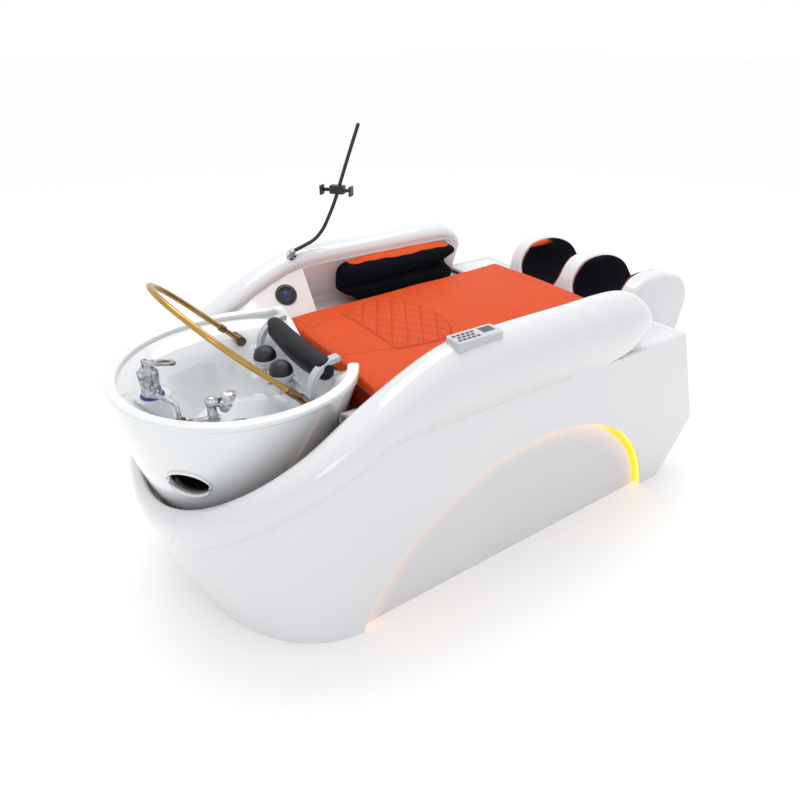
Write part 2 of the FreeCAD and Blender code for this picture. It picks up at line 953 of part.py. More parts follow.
# Basin: level outlines with an oval head end and a flattened foot end
def egg(level, centre, head, foot, half, flat):
    middle = Vector(-centre, 0, level)
    reach = half - flat
    low = Vector(-centre, -flat, level)
    high = Vector(-centre, flat, level)
    bow = stretched(unit_arc(90, 270), head, half, middle)
    near = stretched(unit_arc(270, 360), foot, reach, low)
    far = stretched(unit_arc(0, 90), foot, reach, high)
    edge = line(low + Vector(foot, 0, 0), high + Vector(foot, 0, 0))
    return Part.Wire([bow, near, edge, far])


def skirt_rows(inset):
    return [
        egg(n.skirt_bottom - (n.overrun if inset else 0), n.basin_centre, n.skirt_head_low - inset,
            n.skirt_foot_low - inset, n.skirt_half_low - inset, n.skirt_flat_low),
        egg(n.skirt_middle, n.basin_middle, n.skirt_head_middle - inset,
            n.skirt_foot_middle - inset, n.skirt_half_middle - inset, n.skirt_flat_middle),
        egg(n.skirt_upper, n.basin_upper, n.skirt_head_upper - inset,
            n.skirt_foot_upper - inset, n.skirt_half_upper - inset, n.skirt_flat_upper),
        egg(n.rim_start, n.rim_centre, n.rim_head - inset, n.rim_foot - inset,
            n.rim_half - inset, n.rim_flat),
    ]


def rim_block(inset, low, high):
    wire = egg(low, n.rim_centre, n.rim_head - inset, n.rim_foot - inset,
               n.rim_half - inset, n.rim_flat)
    return slab(wire, Vector(0, 0, high - low))


BOWL_FLAT_SHARES = [0.36, 0.44, 0.48]


def bowl_solid(grow):
    centre = n.rim_centre
    top = n.rim_horn + n.overrun
    rows = [egg(n.bowl_floor - grow, centre, n.bowl_reach_floor + grow, n.bowl_reach_floor + grow,
                n.bowl_half_floor + grow, n.bowl_half_floor * BOWL_FLAT_SHARES[0]),
            egg(n.bowl_waist - grow, centre, n.bowl_reach_waist + grow, n.bowl_reach_waist + grow,
                n.bowl_half_waist + grow, n.bowl_half_waist * BOWL_FLAT_SHARES[1]),
            egg(n.bowl_shoulder - grow, centre, n.bowl_head_shoulder + grow,
                n.bowl_foot_shoulder + grow, n.bowl_half_shoulder + grow,
                n.bowl_half_shoulder * BOWL_FLAT_SHARES[2]),
            egg(n.rim_start, centre, n.rim_head - n.rim_width + grow,
                n.rim_foot - n.rim_width + grow, n.rim_half - n.rim_width + grow,
                n.rim_flat - n.rim_width)]
    body = Part.makeLoft(rows, True, False)
    return body.fuse(rim_block(n.rim_width - grow, n.rim_start, top))


def recess_tool(grow):
    sagitta = n.rim_level - n.recess_level
    radius = (n.recess_half ** 2 + sagitta ** 2) / (2 * sagitta)
    start = Vector(-n.rim_centre, 0, n.recess_level + radius)
    return Part.makeCylinder(radius + grow, n.rim_foot + n.overrun, start, Vector(1, 0, 0))


def post(radius, place_x, place_y, low, high):
    return Part.makeCylinder(radius, high - low, Vector(-place_x, place_y, low))


def boss_posts():
    low = n.bowl_waist
    return [post(n.boss_radius, n.boss_place, 0, low, n.boss_level),
            post(n.holder_boss_radius, n.holder_place, -n.holder_side, low, n.holder_level),
            post(n.grommet_boss_radius, n.grommet_place, -n.grommet_side, low, n.grommet_level)]


RIM_SAG_SHARE = 0.22


def above_rim():
    head = -n.rim_centre - n.rim_head - n.overrun
    foot = -n.rim_centre + n.rim_foot
    half = n.rim_half + n.overrun
    top = n.rim_horn + 2 * n.overrun
    low = n.rim_level
    knee = Vector(foot - n.rim_foot / 3, -half, between(low, n.rim_horn, RIM_SAG_SHARE))
    edge = spline([Vector(-n.rim_centre, -half, low), knee, Vector(foot, -half, n.rim_horn)])
    corners = [Vector(foot, -half, n.rim_horn), Vector(foot + n.overrun, -half, n.rim_horn),
               Vector(foot + n.overrun, -half, top), Vector(head, -half, top),
               Vector(head, -half, low), Vector(-n.rim_centre, -half, low)]
    sides = [line(a, b) for a, b in zip(corners, corners[1:])]
    return slab(Part.Wire([edge] + sides), Vector(0, 2 * half, 0))


OVAL_ANGLES = [45, 135, 225, 315]


def oval_holes():
    tools = []
    for angle in OVAL_ANGLES:
        arc = [stretched(unit_arc(a, a + 180), n.oval_long, n.oval_short, Vector()) for a in (0, 180)]
        tool = slab(Part.Wire(arc), Vector(0, 0, n.skirt_half_upper))
        spin = Rotation(Vector(0, 0, 1), angle)
        reach = n.bowl_half_waist / 2
        outward = spin.multVec(Vector(1, 0, 0))
        axis_x = Vector(0, 0, 1).cross(outward)
        matrix = Matrix(axis_x.x, 0, outward.x, 0, axis_x.y, 0, outward.y, 0,
                        axis_x.z, 1, outward.z, 0, 0, 0, 0, 1)
        tool = tool.transformGeometry(matrix)
        tool.translate(Vector(-n.basin_middle, 0, n.oval_level) + outward * reach)
        tools.append(tool)
    return tools


def basin_shape():
    outer = Part.makeLoft(skirt_rows(0), True, False)
    outer = outer.fuse(rim_block(0, n.rim_start, n.rim_horn + n.overrun))
    bowl = carved(bowl_solid(0), boss_posts())
    roof = n.rim_start - n.rim_depth
    cavity = Part.makeLoft(skirt_rows(n.skirt_wall), True, False)
    keep_out = Part.makeBox(4 * n.rim_half, 4 * n.rim_half, n.rim_half,
                            Vector(-2 * n.rim_half - n.rim_centre, -2 * n.rim_half, roof))
    cavity = carved(cavity, [keep_out, bowl_solid(n.bowl_wall), recess_tool(n.recess_skin)])
    cavity = carved(cavity, boss_posts())
    shell = carved(outer, [cavity, bowl, recess_tool(0), above_rim()])
    floor = n.bowl_floor - n.bowl_wall
    waste = post(n.waste_radius + n.seat_gap, n.basin_middle, 0, floor - n.overrun,
                 n.bowl_floor + n.overrun)
    low = n.bowl_waist - n.overrun
    mixer = post(n.mixer_stem + n.seat_gap, n.boss_place, 0, low, n.boss_level + n.overrun)
    holder = post(n.holder_socket, n.holder_place, -n.holder_side, low,
                  n.holder_level + n.overrun)
    hose = post(n.hose_diameter / 2 + n.seat_gap, n.grommet_place, -n.grommet_side, low,
                n.grommet_level + n.overrun)
    shell = carved(shell, [waste, mixer, holder, hose])
    ovals = [tool.cut(bowl_solid(n.bowl_wall)) for tool in oval_holes()]
    return carved(shell, ovals)


basin = basin_shape()
keep(feature("Basin", basin), "basin")


# Basin stand on the frame, and the waste through the bowl's floor
stand_low = s.frame_low + s.frame_tube
stand_top = s.bowl_floor - s.bowl_wall
stand = turned("BasinStand", [
    (s.stand_radius, ZERO), (s.stand_radius, stand_top - stand_low - s.stand_plate),
    (s.stand_flange, stand_top - stand_low - s.stand_plate),
    (s.stand_flange, stand_top - stand_low),
    (s.stand_radius - s.stand_wall, stand_top - stand_low), (s.stand_radius - s.stand_wall, ZERO)])
keep(place(stand, -s.basin_middle, ZERO, stand_low), "basin_stand")

waste = turned("BasinWaste", [
    (ZERO, -s.waste_lip), (s.waste_bore, -s.waste_lip),
    (s.waste_bore, -s.waste_length), (s.waste_radius, -s.waste_length), (s.waste_radius, ZERO),
    (s.waste_flange, ZERO), (s.waste_radius, s.waste_lip), (s.waste_bore, s.waste_lip),
    (s.waste_bore, ZERO), (ZERO, ZERO)])
keep(place(waste, -s.basin_middle, ZERO, s.bowl_floor), "basin_waste")

# Mixer on its boss: gasket, body with an outlet, turning cap and lever
gasket = turned("MixerGasket", [
    (s.gasket_bore, ZERO), (s.gasket_radius, ZERO), (s.gasket_radius, s.gasket_thickness),
    (s.gasket_bore, s.gasket_thickness)])
keep(place(gasket, -s.boss_place, ZERO, s.boss_level), "mixer_gasket")

mixer_low = s.boss_level + s.gasket_thickness
shank = s.gasket_thickness + s.mixer_height
mixer_turned = turned("MixerTurned", [
    (ZERO, -shank), (s.mixer_stem, -shank), (s.mixer_stem, ZERO), (s.mixer_radius, ZERO),
    (s.mixer_radius, s.mixer_stem), (s.mixer_waist, s.mixer_height / 2),
    (s.mixer_radius, s.mixer_height), (s.mixer_stem, s.mixer_height),
    (s.mixer_stem, s.mixer_height + s.mixer_stem_height),
    (ZERO, s.mixer_height + s.mixer_stem_height)])
place(mixer_turned, -s.boss_place, ZERO, mixer_low)
FACE_NEAR = Rotation(Vector(1, 0, 0), 90)
outlet_level = mixer_low + s.outlet_level
outlet = cylinder("MixerOutlet", s.outlet_radius, s.outlet_reach, -s.boss_place, ZERO,
                  outlet_level, FACE_NEAR)
keep(fuse("MixerBody", [mixer_turned, outlet]), "mixer_body")

coupling = cylinder("Coupling", s.coupling_radius, s.coupling_length, -s.boss_place,
                    -s.outlet_reach, outlet_level, FACE_NEAR)
keep(coupling, "hose_coupling")

# The cap turns on the stem; two ears on it carry the lever's pin
cap_low = mixer_low + s.mixer_height + s.running_gap
cap_top = cap_low + s.cap_height
cap_bore = s.mixer_stem + s.running_gap
cap_hollow = s.mixer_stem_height + s.running_gap
cap_turned = turned("CapTurned", [
    (cap_bore, ZERO), (s.cap_radius, ZERO), (s.cap_radius, s.cap_height / 2),
    (s.cap_radius - s.lever_pin * 3, s.cap_height), (ZERO, s.cap_height), (ZERO, cap_hollow),
    (cap_bore, cap_hollow)])
place(cap_turned, -s.boss_place, ZERO, cap_low)
ear_inner = s.lever_width / 2 + s.running_gap
ear_outer = ear_inner + s.lever_pin
ear_half = s.lever_pin + s.lever_thickness / 2
pin_level = cap_top + s.lever_pin + s.lever_thickness / 2
hub_radius = s.lever_pin + s.lever_thickness / 3
ears = [box(name, -s.boss_place - ear_half, -s.boss_place + ear_half, low, high,
            cap_top - s.lever_pin * 3, pin_level + ear_half)
        for name, low, high in (("EarNear", -ear_outer, -ear_inner), ("EarFar", ear_inner, ear_outer))]
ear_bore = cylinder("EarBore", s.lever_pin + s.running_gap, ear_outer * 2, -s.boss_place,
                    ear_outer, pin_level, FACE_NEAR)
keep(cut("MixerCap", fuse("CapSolid", [cap_turned] + ears), ear_bore), "mixer_cap")

LEVER_PITCH = 14
lever_half = s.lever_width / 2
lever_plate = padded("LeverPlate", [
    (ZERO, -lever_half), (s.lever_reach - lever_half / 2, -lever_half),
    (s.lever_reach, -lever_half / 2), (s.lever_reach, lever_half / 2),
    (s.lever_reach - lever_half / 2, lever_half), (ZERO, lever_half)], s.lever_thickness)
lever_slot = box("LeverSlot", s.lever_slot_start, s.lever_slot_end, -s.lever_slot_width / 2,
                 s.lever_slot_width / 2, -s.overrun, s.overrun)
lever_flat = cut("LeverFlat", lever_plate, lever_slot)
place(lever_flat, -s.boss_place, ZERO, pin_level, Rotation(Vector(0, 1, 0), LEVER_PITCH))
lever_hub = cylinder("LeverHub", hub_radius, s.lever_width, -s.boss_place, lever_half,
                     pin_level, FACE_NEAR)
lever_axle = cylinder("LeverAxle", s.lever_pin, ear_outer * 2, -s.boss_place, ear_outer,
                      pin_level, FACE_NEAR)
keep(fuse("MixerLever", [lever_flat, lever_hub, lever_axle]), "mixer_lever")


# A round tube along straight runs joined by tangent arcs
RUN_SHARE = 0.45


def tube(points, radius, label):
    edges, radii, start = [], [], points[0]
    for before, corner, after in zip(points, points[1:], points[2:]):
        back, ahead = before - corner, after - corner
        shorter = min(back.Length, ahead.Length) * RUN_SHARE
        back.normalize()
        ahead.normalize()
        half_turn = (math.pi - back.getAngle(ahead)) / 2
        bend = shorter / math.tan(half_turn)
        radii.append(round(bend, 1))
        first, last = corner + back * shorter, corner + ahead * shorter
        inward = (back + ahead).normalize()
        middle = corner + inward * (bend / math.cos(half_turn) - bend)
        edges += [line(start, first), Part.Arc(first, middle, last).toShape()]
        start = last
    edges.append(line(start, points[-1]))
    path = Part.Wire(edges)
    ring = Part.Circle(points[0], points[1] - points[0], radius).toShape()
    shape = path.makePipeShell([Part.Wire([ring])], True, False)
    print(label, "bend radii", radii, "volume over section times length",
          round(shape.Volume / (math.pi * radius ** 2 * path.Length), 4))
    return shape


# Shower hose from the mixer's outlet down through its grommet
hose_grommet = turned("HoseGrommet", [
    (s.hose_diameter / 2 + s.soft_gap, ZERO), (s.grommet_radius, ZERO),
    (s.grommet_radius, s.grommet_height / 2),
    (s.hose_diameter / 2 + s.soft_gap, s.grommet_height)])
keep(place(hose_grommet, -s.grommet_place, -s.grommet_side, s.grommet_level), "hose_grommet")


def hose_shape():
    start = -n.outlet_reach - n.coupling_length
    level = float(outlet_level)
    points = [Vector(-n.boss_place, start, level),
              Vector(-n.grommet_place, -n.grommet_side, level - n.grommet_height / 2),
              Vector(-n.grommet_place, -n.grommet_side, n.grommet_level - n.grommet_height)]
    nut = Part.makeCylinder(n.coupling_radius, n.coupling_length,
                            Vector(-n.boss_place, start, level), Vector(0, 1, 0))
    return tube(points, n.hose_diameter / 2, "shower_hose").cut(nut)


keep(feature("ShowerHose", hose_shape()), "shower_hose")

# Spray: holder on its boss, a diverter lever round its foot, lift-off spray
wing_low = s.wing_level - s.wing_thickness
holder = turned("SprayHolder", [
    (s.holder_socket, ZERO), (s.holder_radius, ZERO), (s.holder_radius, wing_low),
    (s.holder_neck, wing_low), (s.holder_neck, s.holder_height),
    (s.holder_socket, s.holder_height)])
keep(place(holder, -s.holder_place, -s.holder_side, s.holder_level), "spray_holder")

wing_start = s.holder_level + wing_low + s.running_gap
wing_hub_bore = s.holder_neck + s.running_gap
wing_hub = cylinder("WingHub", s.holder_radius + s.wing_thickness / 2, s.wing_thickness,
                    -s.holder_place, -s.holder_side, wing_start)
WING_YAW = 165
wing_half = s.wing_width / 2
wing_plate = padded("WingPlate", [
    (ZERO, -wing_half), (s.wing_reach - wing_half, -wing_half), (s.wing_reach, -wing_half / 2),
    (s.wing_reach, wing_half / 2), (s.wing_reach - wing_half, wing_half), (ZERO, wing_half)],
    s.wing_thickness)
place(wing_plate, -s.holder_place, -s.holder_side, wing_start, Rotation(Vector(0, 0, 1), WING_YAW))
wing_bore = cylinder("WingBore", wing_hub_bore, s.overrun * 2, -s.holder_place, -s.holder_side,
                     wing_start - s.overrun)
keep(cut("DiverterLever", fuse("WingSolid", [wing_hub, wing_plate]), wing_bore), "diverter_lever")


# The head's face looks along a slanting direction into the bowl
SPRAY_FACE_SHARES = (0.77, -0.25, -0.6)
STEM_SHARE = 0.8
GRIP_SHARE = 0.9
KNEE_SHARE = 1.25
ARM_SHARE = 0.8
DOME_SHARES = (0.62, 0.6)


def spray_shape():
    top = n.holder_level + n.holder_height
    foot = Vector(-n.holder_place, -n.holder_side, top)
    stem_length = n.holder_height * STEM_SHARE
    stem = Part.makeCylinder(n.spray_stem, stem_length, foot - Vector(0, 0, stem_length))
    grip = Part.makeCone(n.spray_handle, n.spray_handle * GRIP_SHARE, n.spray_stand, foot)
    knee = foot + Vector(0, 0, n.spray_stand)
    face = Vector(*SPRAY_FACE_SHARES).normalize()
    ahead = Vector(face.x, face.y, 0).normalize()
    middle = knee + ahead * n.spray_arm
    ball = Part.makeSphere(n.spray_handle * KNEE_SHARE, knee)
    arm = Part.makeCone(n.spray_bend * ARM_SHARE, n.spray_bend, n.spray_arm / 2, knee, ahead)
    back = middle - face * (n.spray_depth / 2)
    crown, deep = n.spray_radius * DOME_SHARES[0], n.spray_depth * DOME_SHARES[1]
    dome = Part.makeCone(crown, n.spray_radius, deep, back, face)
    rim = Part.makeCylinder(n.spray_radius, n.spray_depth - deep, back + face * deep, face)
    return stem.fuse([grip, ball, arm, dome, rim])


keep(feature("SprayHead", spray_shape()), "spray_head")


# Neck rest: two curved arms on a bar across the bowl, with cups for the balls
ARM_ANGLES = (88, 186)


def neck_bracket_shape():
    centre = Vector(-n.arm_centre, 0, n.arm_level)
    start, end = [math.radians(angle) for angle in ARM_ANGLES]
    middle = (start + end) / 2

    def at(radius, angle):
        return centre + Vector(math.cos(angle), 0, math.sin(angle)) * radius

    inner, outer = n.arm_radius, n.arm_radius + n.arm_thickness
    edges = [Part.Arc(at(inner, start), at(inner, middle), at(inner, end)).toShape(),
             line(at(inner, end), at(outer, end)),
             Part.Arc(at(outer, end), at(outer, middle), at(outer, start)).toShape(),
             line(at(outer, start), at(inner, start))]
    wire = Part.Wire(edges)
    parts = []
    for low in (-n.arm_side - n.arm_width / 2, n.arm_side - n.arm_width / 2):
        face = wire.copy()
        face.translate(Vector(0, low, 0))
        parts.append(slab(face, Vector(0, n.arm_width, 0)))
    foot = at((inner + outer) / 2, end)
    bar_half = n.bowl_half_shoulder + n.overrun
    parts.append(Part.makeBox(n.bar_depth, 2 * bar_half, n.bar_height,
                              Vector(foot.x - n.bar_depth / 2, -bar_half, foot.z - n.bar_height)))
    pad_low = foot.z - n.bar_height
    pad_half = n.bar_depth
    for side in (-1, 1):
        corner = Vector(-n.ball_place - pad_half, side * n.ball_side - pad_half, pad_low)
        parts.append(Part.makeBox(foot.x + n.ball_place + pad_half, 2 * pad_half,
                                  n.ball_level - n.ball_radius - pad_low, corner))
    bracket = parts[0].fuse(parts[1:])
    sockets = [Part.makeSphere(n.ball_radius + n.cup_wall,
                               Vector(-n.ball_place, side * n.ball_side, n.ball_level))
               for side in (-1, 1)]
    return carved(bracket.common(bowl_solid(-n.soft_gap)), sockets)


keep(feature("NeckBracket", neck_bracket_shape()), "neck_bracket")


def ball_cup(side):
    centre = Vector(-n.ball_place, side * n.ball_side, n.ball_level)
    outer = Part.makeSphere(n.ball_radius + n.cup_wall, centre)
    inner = Part.makeSphere(n.ball_radius + n.running_gap * 2, centre)
    half = n.ball_radius + n.cup_wall + n.overrun
    roof = Part.makeBox(2 * half, 2 * half, 2 * half,
                        centre - Vector(half, half, n.ball_radius - n.cup_depth))
    return carved(outer, [inner, roof])


keep(feature("BallCups", Part.makeCompound([ball_cup(-1), ball_cup(1)])), "ball_cups")
for name, label, side in (("BallNear", "head_ball_near", -s.ball_side),
                          ("BallFar", "head_ball_far", s.ball_side)):
    ball = doc.addObject("Part::Sphere", name)
    bind(ball, Radius=s.ball_radius)
    keep(place(ball, -s.ball_place, side, s.ball_level), label)


# Neck pillow: oval sections, sagging in the middle and drawn in at the ends
PILLOW_SHARES = [-1, -0.86, -0.5, 0, 0.5, 0.86, 1]
PILLOW_DRAW_SHARES = [0.72, 0.92, 1, 0.97, 1, 0.92, 0.72]


def pillow_shape():
    rows = []
    for share, draw in zip(PILLOW_SHARES, PILLOW_DRAW_SHARES):
        sag = n.pillow_sag * (1 - share ** 2)
        level = n.pillow_level - sag + n.pillow_crown
        wide, high = n.pillow_depth * draw, n.pillow_height * draw
        across = n.pillow_half * share
        centre = Vector(-n.pillow_place, across, level)
        quarter = [centre + Vector(math.cos(a) * wide, 0, math.sin(a) * high)
                   for a in (math.radians(angle) for angle in range(0, 360, 45))]
        arcs = [Part.Arc(quarter[i], quarter[i + 1], quarter[(i + 2) % 8]).toShape()
                for i in (0, 2, 4, 6)]
        rows.append(Part.Wire(arcs))
    pillow = Part.makeLoft(rows, True, False)
    centre = Vector(-n.arm_centre, 0, n.arm_level)
    half = n.pillow_half + n.overrun
    ring = Part.makeCylinder(n.arm_radius + n.arm_thickness + n.soft_gap, 2 * n.arm_width,
                             centre, Vector(0, 1, 0))
    ring = ring.cut(Part.makeCylinder(n.arm_radius - n.soft_gap, 2 * n.arm_width, centre,
                                      Vector(0, 1, 0)))
    slots = []
    for low in (-n.arm_side - n.arm_width / 2 - n.soft_gap, n.arm_side - n.arm_width / 2
                - n.soft_gap):
        slot = ring.copy()
        slot.translate(Vector(0, low, 0))
        width = n.arm_width + 2 * n.soft_gap
        window = Part.makeBox(2 * half, width, 2 * half,
                              Vector(-n.arm_centre - half, low, n.arm_level - half))
        slots.append(slot.common(window))
    return carved(pillow, slots)


keep(feature("NeckPillow", pillow_shape()), "neck_pillow")
buckle_side = s.arm_side + s.arm_width / 2 + s.seat_gap
keep(box("PillowBuckle", -s.arm_centre - s.arm_radius - s.arm_thickness,
         -s.arm_centre - s.arm_radius - s.arm_thickness + s.buckle_width,
         -buckle_side - s.buckle_thickness, -buckle_side,
         s.arm_level, s.arm_level + s.buckle_length), "pillow_buckle")


# Water hoop: a bent tube that swings on two pivots in the bowl's sides
def hoop_frame():
    lean = math.radians(n.hoop_lean)
    along = Vector(-math.cos(lean), 0, math.sin(lean))
    return Vector(-n.hoop_place, 0, n.hoop_level), along


def hoop_rod(radius):
    origin, along = hoop_frame()
    side = Vector(0, n.hoop_half, 0)
    foot_near, foot_far = origin - side, origin + side
    crown = along * n.hoop_leg
    top = origin + crown + along * n.hoop_half
    path = Part.Wire([line(foot_near, foot_near + crown),
                      Part.Arc(foot_near + crown, top, foot_far + crown).toShape(),
                      line(foot_far + crown, foot_far)])
    ring = Part.Circle(foot_near, along, radius).toShape()
    return path.makePipeShell([Part.Wire([ring])], True, False)


def hoop_shape():
    return hoop_rod(n.hoop_radius).cut(hoop_rod(n.hoop_radius - n.hoop_wall))


SLEEVE_SHARES = (0.8, 0.92)


def hoop_fittings():
    origin, along = hoop_frame()
    parts = []
    for sign, radius in ((-1, n.elbow_radius), (1, n.elbow_radius + n.pivot_radius / 3)):
        hub_start = origin + Vector(0, sign * (n.hoop_half - n.elbow_length / 2), 0)
        hub = Part.makeCylinder(radius, n.elbow_length, hub_start, Vector(0, sign, 0))
        pin_start = hub_start + Vector(0, sign * n.elbow_length, 0)
        pin = Part.makeCylinder(n.pivot_radius, n.pivot_length, pin_start, Vector(0, sign, 0))
        parts.append([hub, pin])
    foot = origin - Vector(0, n.hoop_half, 0)
    collar = Part.makeCylinder(n.hoop_collar, n.hoop_collar_length,
                               foot + along * n.elbow_length, along)
    sleeve = Part.makeCone(n.elbow_radius * SLEEVE_SHARES[0], n.hoop_collar * SLEEVE_SHARES[1],
                           n.elbow_length, foot, along)
    near = parts[0][0].fuse([parts[0][1], collar, sleeve])
    foot = origin + Vector(0, n.hoop_half, 0)
    ring = Part.makeCylinder(n.clamp_radius, n.clamp_length, foot + along * n.clamp_place, along)
    bar = Part.makeBox(n.clamp_place + n.clamp_length, n.clamp_radius, n.hoop_radius,
                       Vector(0, 0, 0))
    turn = Rotation(Vector(1, 0, 0), along)
    bar.Placement = Placement(foot - Vector(0, n.clamp_radius / 2 - n.hoop_radius, 0), turn)
    bar = bar.cut(Part.makeCylinder(n.elbow_radius, n.clamp_radius * 4,
                                    foot - Vector(0, n.clamp_radius * 2, 0), Vector(0, 1, 0)))
    far = parts[1][0].fuse([parts[1][1], ring, bar])
    tube_room = hoop_rod(n.hoop_radius)
    return near.cut(tube_room), far.cut(tube_room)


hoop_near, hoop_far = hoop_fittings()
keep(feature("HoopTube", hoop_shape()), "hoop_tube")
keep(feature("HoopElbowNear", hoop_near), "hoop_elbow_near")
keep(feature("HoopClampFar", hoop_far), "hoop_clamp_far")


def pivot_socket(side):
    start = n.hoop_half + n.elbow_length / 2 + n.seat_gap
    centre = Vector(-n.hoop_place, side * start, n.hoop_level)
    reach = n.elbow_length * 2
    socket = Part.makeCylinder(n.elbow_radius, reach, centre, Vector(0, side, 0))
    bore = Part.makeCylinder(n.pivot_radius + n.running_gap, n.pivot_length + n.seat_gap,
                             centre - Vector(0, side * n.seat_gap, 0), Vector(0, side, 0))
    return socket.common(bowl_solid(-n.seat_gap)).cut(bore)


keep(feature("HoopPivots", Part.makeCompound([pivot_socket(-1), pivot_socket(1)])), "hoop_pivots")


# Control panel: a raised surround on the near armrest, a display and keys
UPRIGHT_SHARE = 0.9
rail_solid = Part.makeLoft([rail_wire(points) for points in rail_stations()], True, False)
panel_x0 = -s.panel_place - s.panel_length / 2
panel_y0 = -s.panel_side - s.panel_width / 2
panel_top = s.panel_seat + s.panel_height
panel_block = box("PanelBlock", panel_x0, panel_x0 + s.panel_length, panel_y0,
                  panel_y0 + s.panel_width, s.panel_seat - s.overrun, panel_top)
corners = doc.addObject("Part::Fillet", "PanelCorners")
corners.Base = panel_block
doc.recompute()
upright = [i + 1 for i, edge in enumerate(panel_block.Shape.Edges)
           if abs(edge.tangentAt(edge.FirstParameter).z) > UPRIGHT_SHARE]
corners.Edges = [(i, n.panel_corner, n.panel_corner) for i in upright]
panel_block.Visibility = False
display_x = -s.panel_place + s.display_place
display_y = -s.panel_side + s.display_side
display_low = panel_top - s.display_depth
pockets = []


def pocket(name, x, y, length, width, low, room):
    pockets.append(box(name, x - length / 2 - room, x + length / 2 + room, y - width / 2 - room,
                       y + width / 2 + room, low, panel_top + s.overrun))


pocket("DisplayPocket", display_x, display_y, s.display_length, s.display_width, display_low,
       s.seat_gap)
KEY_ROWS = [(1, 5, 0), (0, 4, 0.5), (-1, 5, 0)]
key_low = panel_top + s.key_proud - s.key_height
key_floor = key_low - s.key_travel - s.seat_gap
keys = []
for row, count, shift in KEY_ROWS:
    for column in range(count):
        key_x = -s.panel_place - s.key_start + s.key_pitch * (column + shift)
        key_y = -s.panel_side + s.key_rows * row
        number = len(keys) + 1
        pocket("KeyPocket%02d" % number, key_x, key_y, s.key_length, s.key_width, key_floor,
               s.key_gap)
        keys.append(box("Key%02d" % number, key_x - s.key_length / 2, key_x + s.key_length / 2,
                        key_y - s.key_width / 2, key_y + s.key_width / 2, key_low,
                        key_low + s.key_height))
seat = feature("PanelSeat", rail_solid)
keep(cut("ControlHousing", cut("PanelBody", corners, fuse("PanelPockets", pockets)), seat),
     "control_housing")
keep(box("ControlDisplay", display_x - s.display_length / 2, display_x + s.display_length / 2,
         display_y - s.display_width / 2, display_y + s.display_width / 2, display_low,
         panel_top - s.key_gap), "control_display")
for number, key in enumerate(keys):
    keep(key, "panel_key_%02d" % (number + 1))


# Phone holder on the far armrest: foot, swivel, bent rod and a sprung clamp
def phone_axis():
    points = far_points(-n.phone_place)
    crest, inner = points[3], points[4]
    share = (crest.y - n.phone_side) / (crest.y - inner.y)
    spot = crest + (inner - crest) * share
    tilt = math.radians(n.phone_tilt)
    return spot, Vector(0, -math.sin(tilt), math.cos(tilt))


PIN_SHARES = (0.28, 0.36)
KNUCKLE_SHARE = 1.1


def phone_pieces():
    spot, axis = phone_axis()
    sink = n.phone_base_height
    foot = spot - axis * sink
    base = Part.makeCylinder(n.phone_base_radius, 2 * sink, foot, axis).cut(rail_solid)
    top = spot + axis * sink
    pin_deep, bore_deep = [sink * share for share in PIN_SHARES]
    bore = Part.makeCylinder(n.swivel_pin + n.running_gap, sink, top - axis * bore_deep, axis)
    base = base.cut(bore)
    start = top + axis * n.running_gap
    knob = Part.makeCylinder(n.swivel_radius, n.swivel_height, start, axis)
    pin = Part.makeCylinder(n.swivel_pin, pin_deep, start - axis * pin_deep, axis)
    ball = Part.makeSphere(n.swivel_radius * KNUCKLE_SHARE, start + axis * n.swivel_height)
    return base, knob.fuse([pin, ball]), start + axis * n.swivel_height


phone_base, phone_swivel, knuckle = phone_pieces()
keep(feature("PhoneBase", phone_base), "phone_base")
ROD_SHARES = [(0, 0), (0.162, 0.035), (0.33, 0.075), (0.455, 0.16), (0.62, 0.36), (0.81, 0.69),
              (1, 1)]


def rod_points():
    reach, rise = n.rod_reach, n.rod_height
    return [knuckle + Vector(reach * along, 0, rise * up) for along, up in ROD_SHARES]


rod = tube(rod_points(), n.rod_radius, "phone_rod")
tip = Part.makeSphere(n.rod_radius, rod_points()[-1])
keep(feature("PhoneSwivel", phone_swivel), "phone_swivel")
keep(feature("PhoneRod", rod.fuse(tip).cut(phone_swivel)), "phone_rod")


CLAMP_YAW = -50
SLIDE_SHARES = (0.93, 0.6)
CLAMP_BACK_SHARE = 0.7


def clamp_pieces():
    points = rod_points()
    low, high = points[4], points[5]
    share = (n.clamp_spot - low.z) / (high.z - low.z)
    middle = low + (high - low) * share
    turn = Rotation(Vector(0, 0, 1), CLAMP_YAW)
    across = turn.multVec(Vector(1, 0, 0))
    ahead = turn.multVec(Vector(0, -1, 0))
    half = n.clamp_span / 2

    def block(x0, x1, y0, y1, z0, z1):
        piece = Part.makeBox(x1 - x0, y1 - y0, z1 - z0, Vector(x0, y0, z0))
        piece.Placement = Placement(middle, turn)
        return piece

    depth, width, jaw = n.clamp_body_depth, n.clamp_body_width, n.jaw_thickness
    rail = n.jaw_rail
    body = block(-width, half - width, -depth, depth * CLAMP_BACK_SHARE, -width / 2, width / 2)
    hook = block(-half, -width + rail, -depth, -depth / 2, -rail, rail)
    lip = block(-half - jaw, -half, -depth * 2, -depth / 4, -n.jaw_height / 2, n.jaw_height / 2)
    front, back = -depth * SLIDE_SHARES[0], -depth * SLIDE_SHARES[1]
    slot = block(0, half, front - n.running_gap, back + n.running_gap,
                 -rail - n.running_gap, rail + n.running_gap)
    body = carved(body.fuse([hook, lip]), [slot, rod])
    slide = block(n.running_gap, half, front, back, -rail, rail)
    far_lip = block(half, half + jaw, -depth * 2, -depth / 4, -n.jaw_height / 2, n.jaw_height / 2)
    return body, slide.fuse(far_lip), across


clamp_body, clamp_jaw, clamp_across = clamp_pieces()
keep(feature("ClampBody", clamp_body), "clamp_body")
keep(feature("ClampJaw", clamp_jaw), "clamp_jaw")


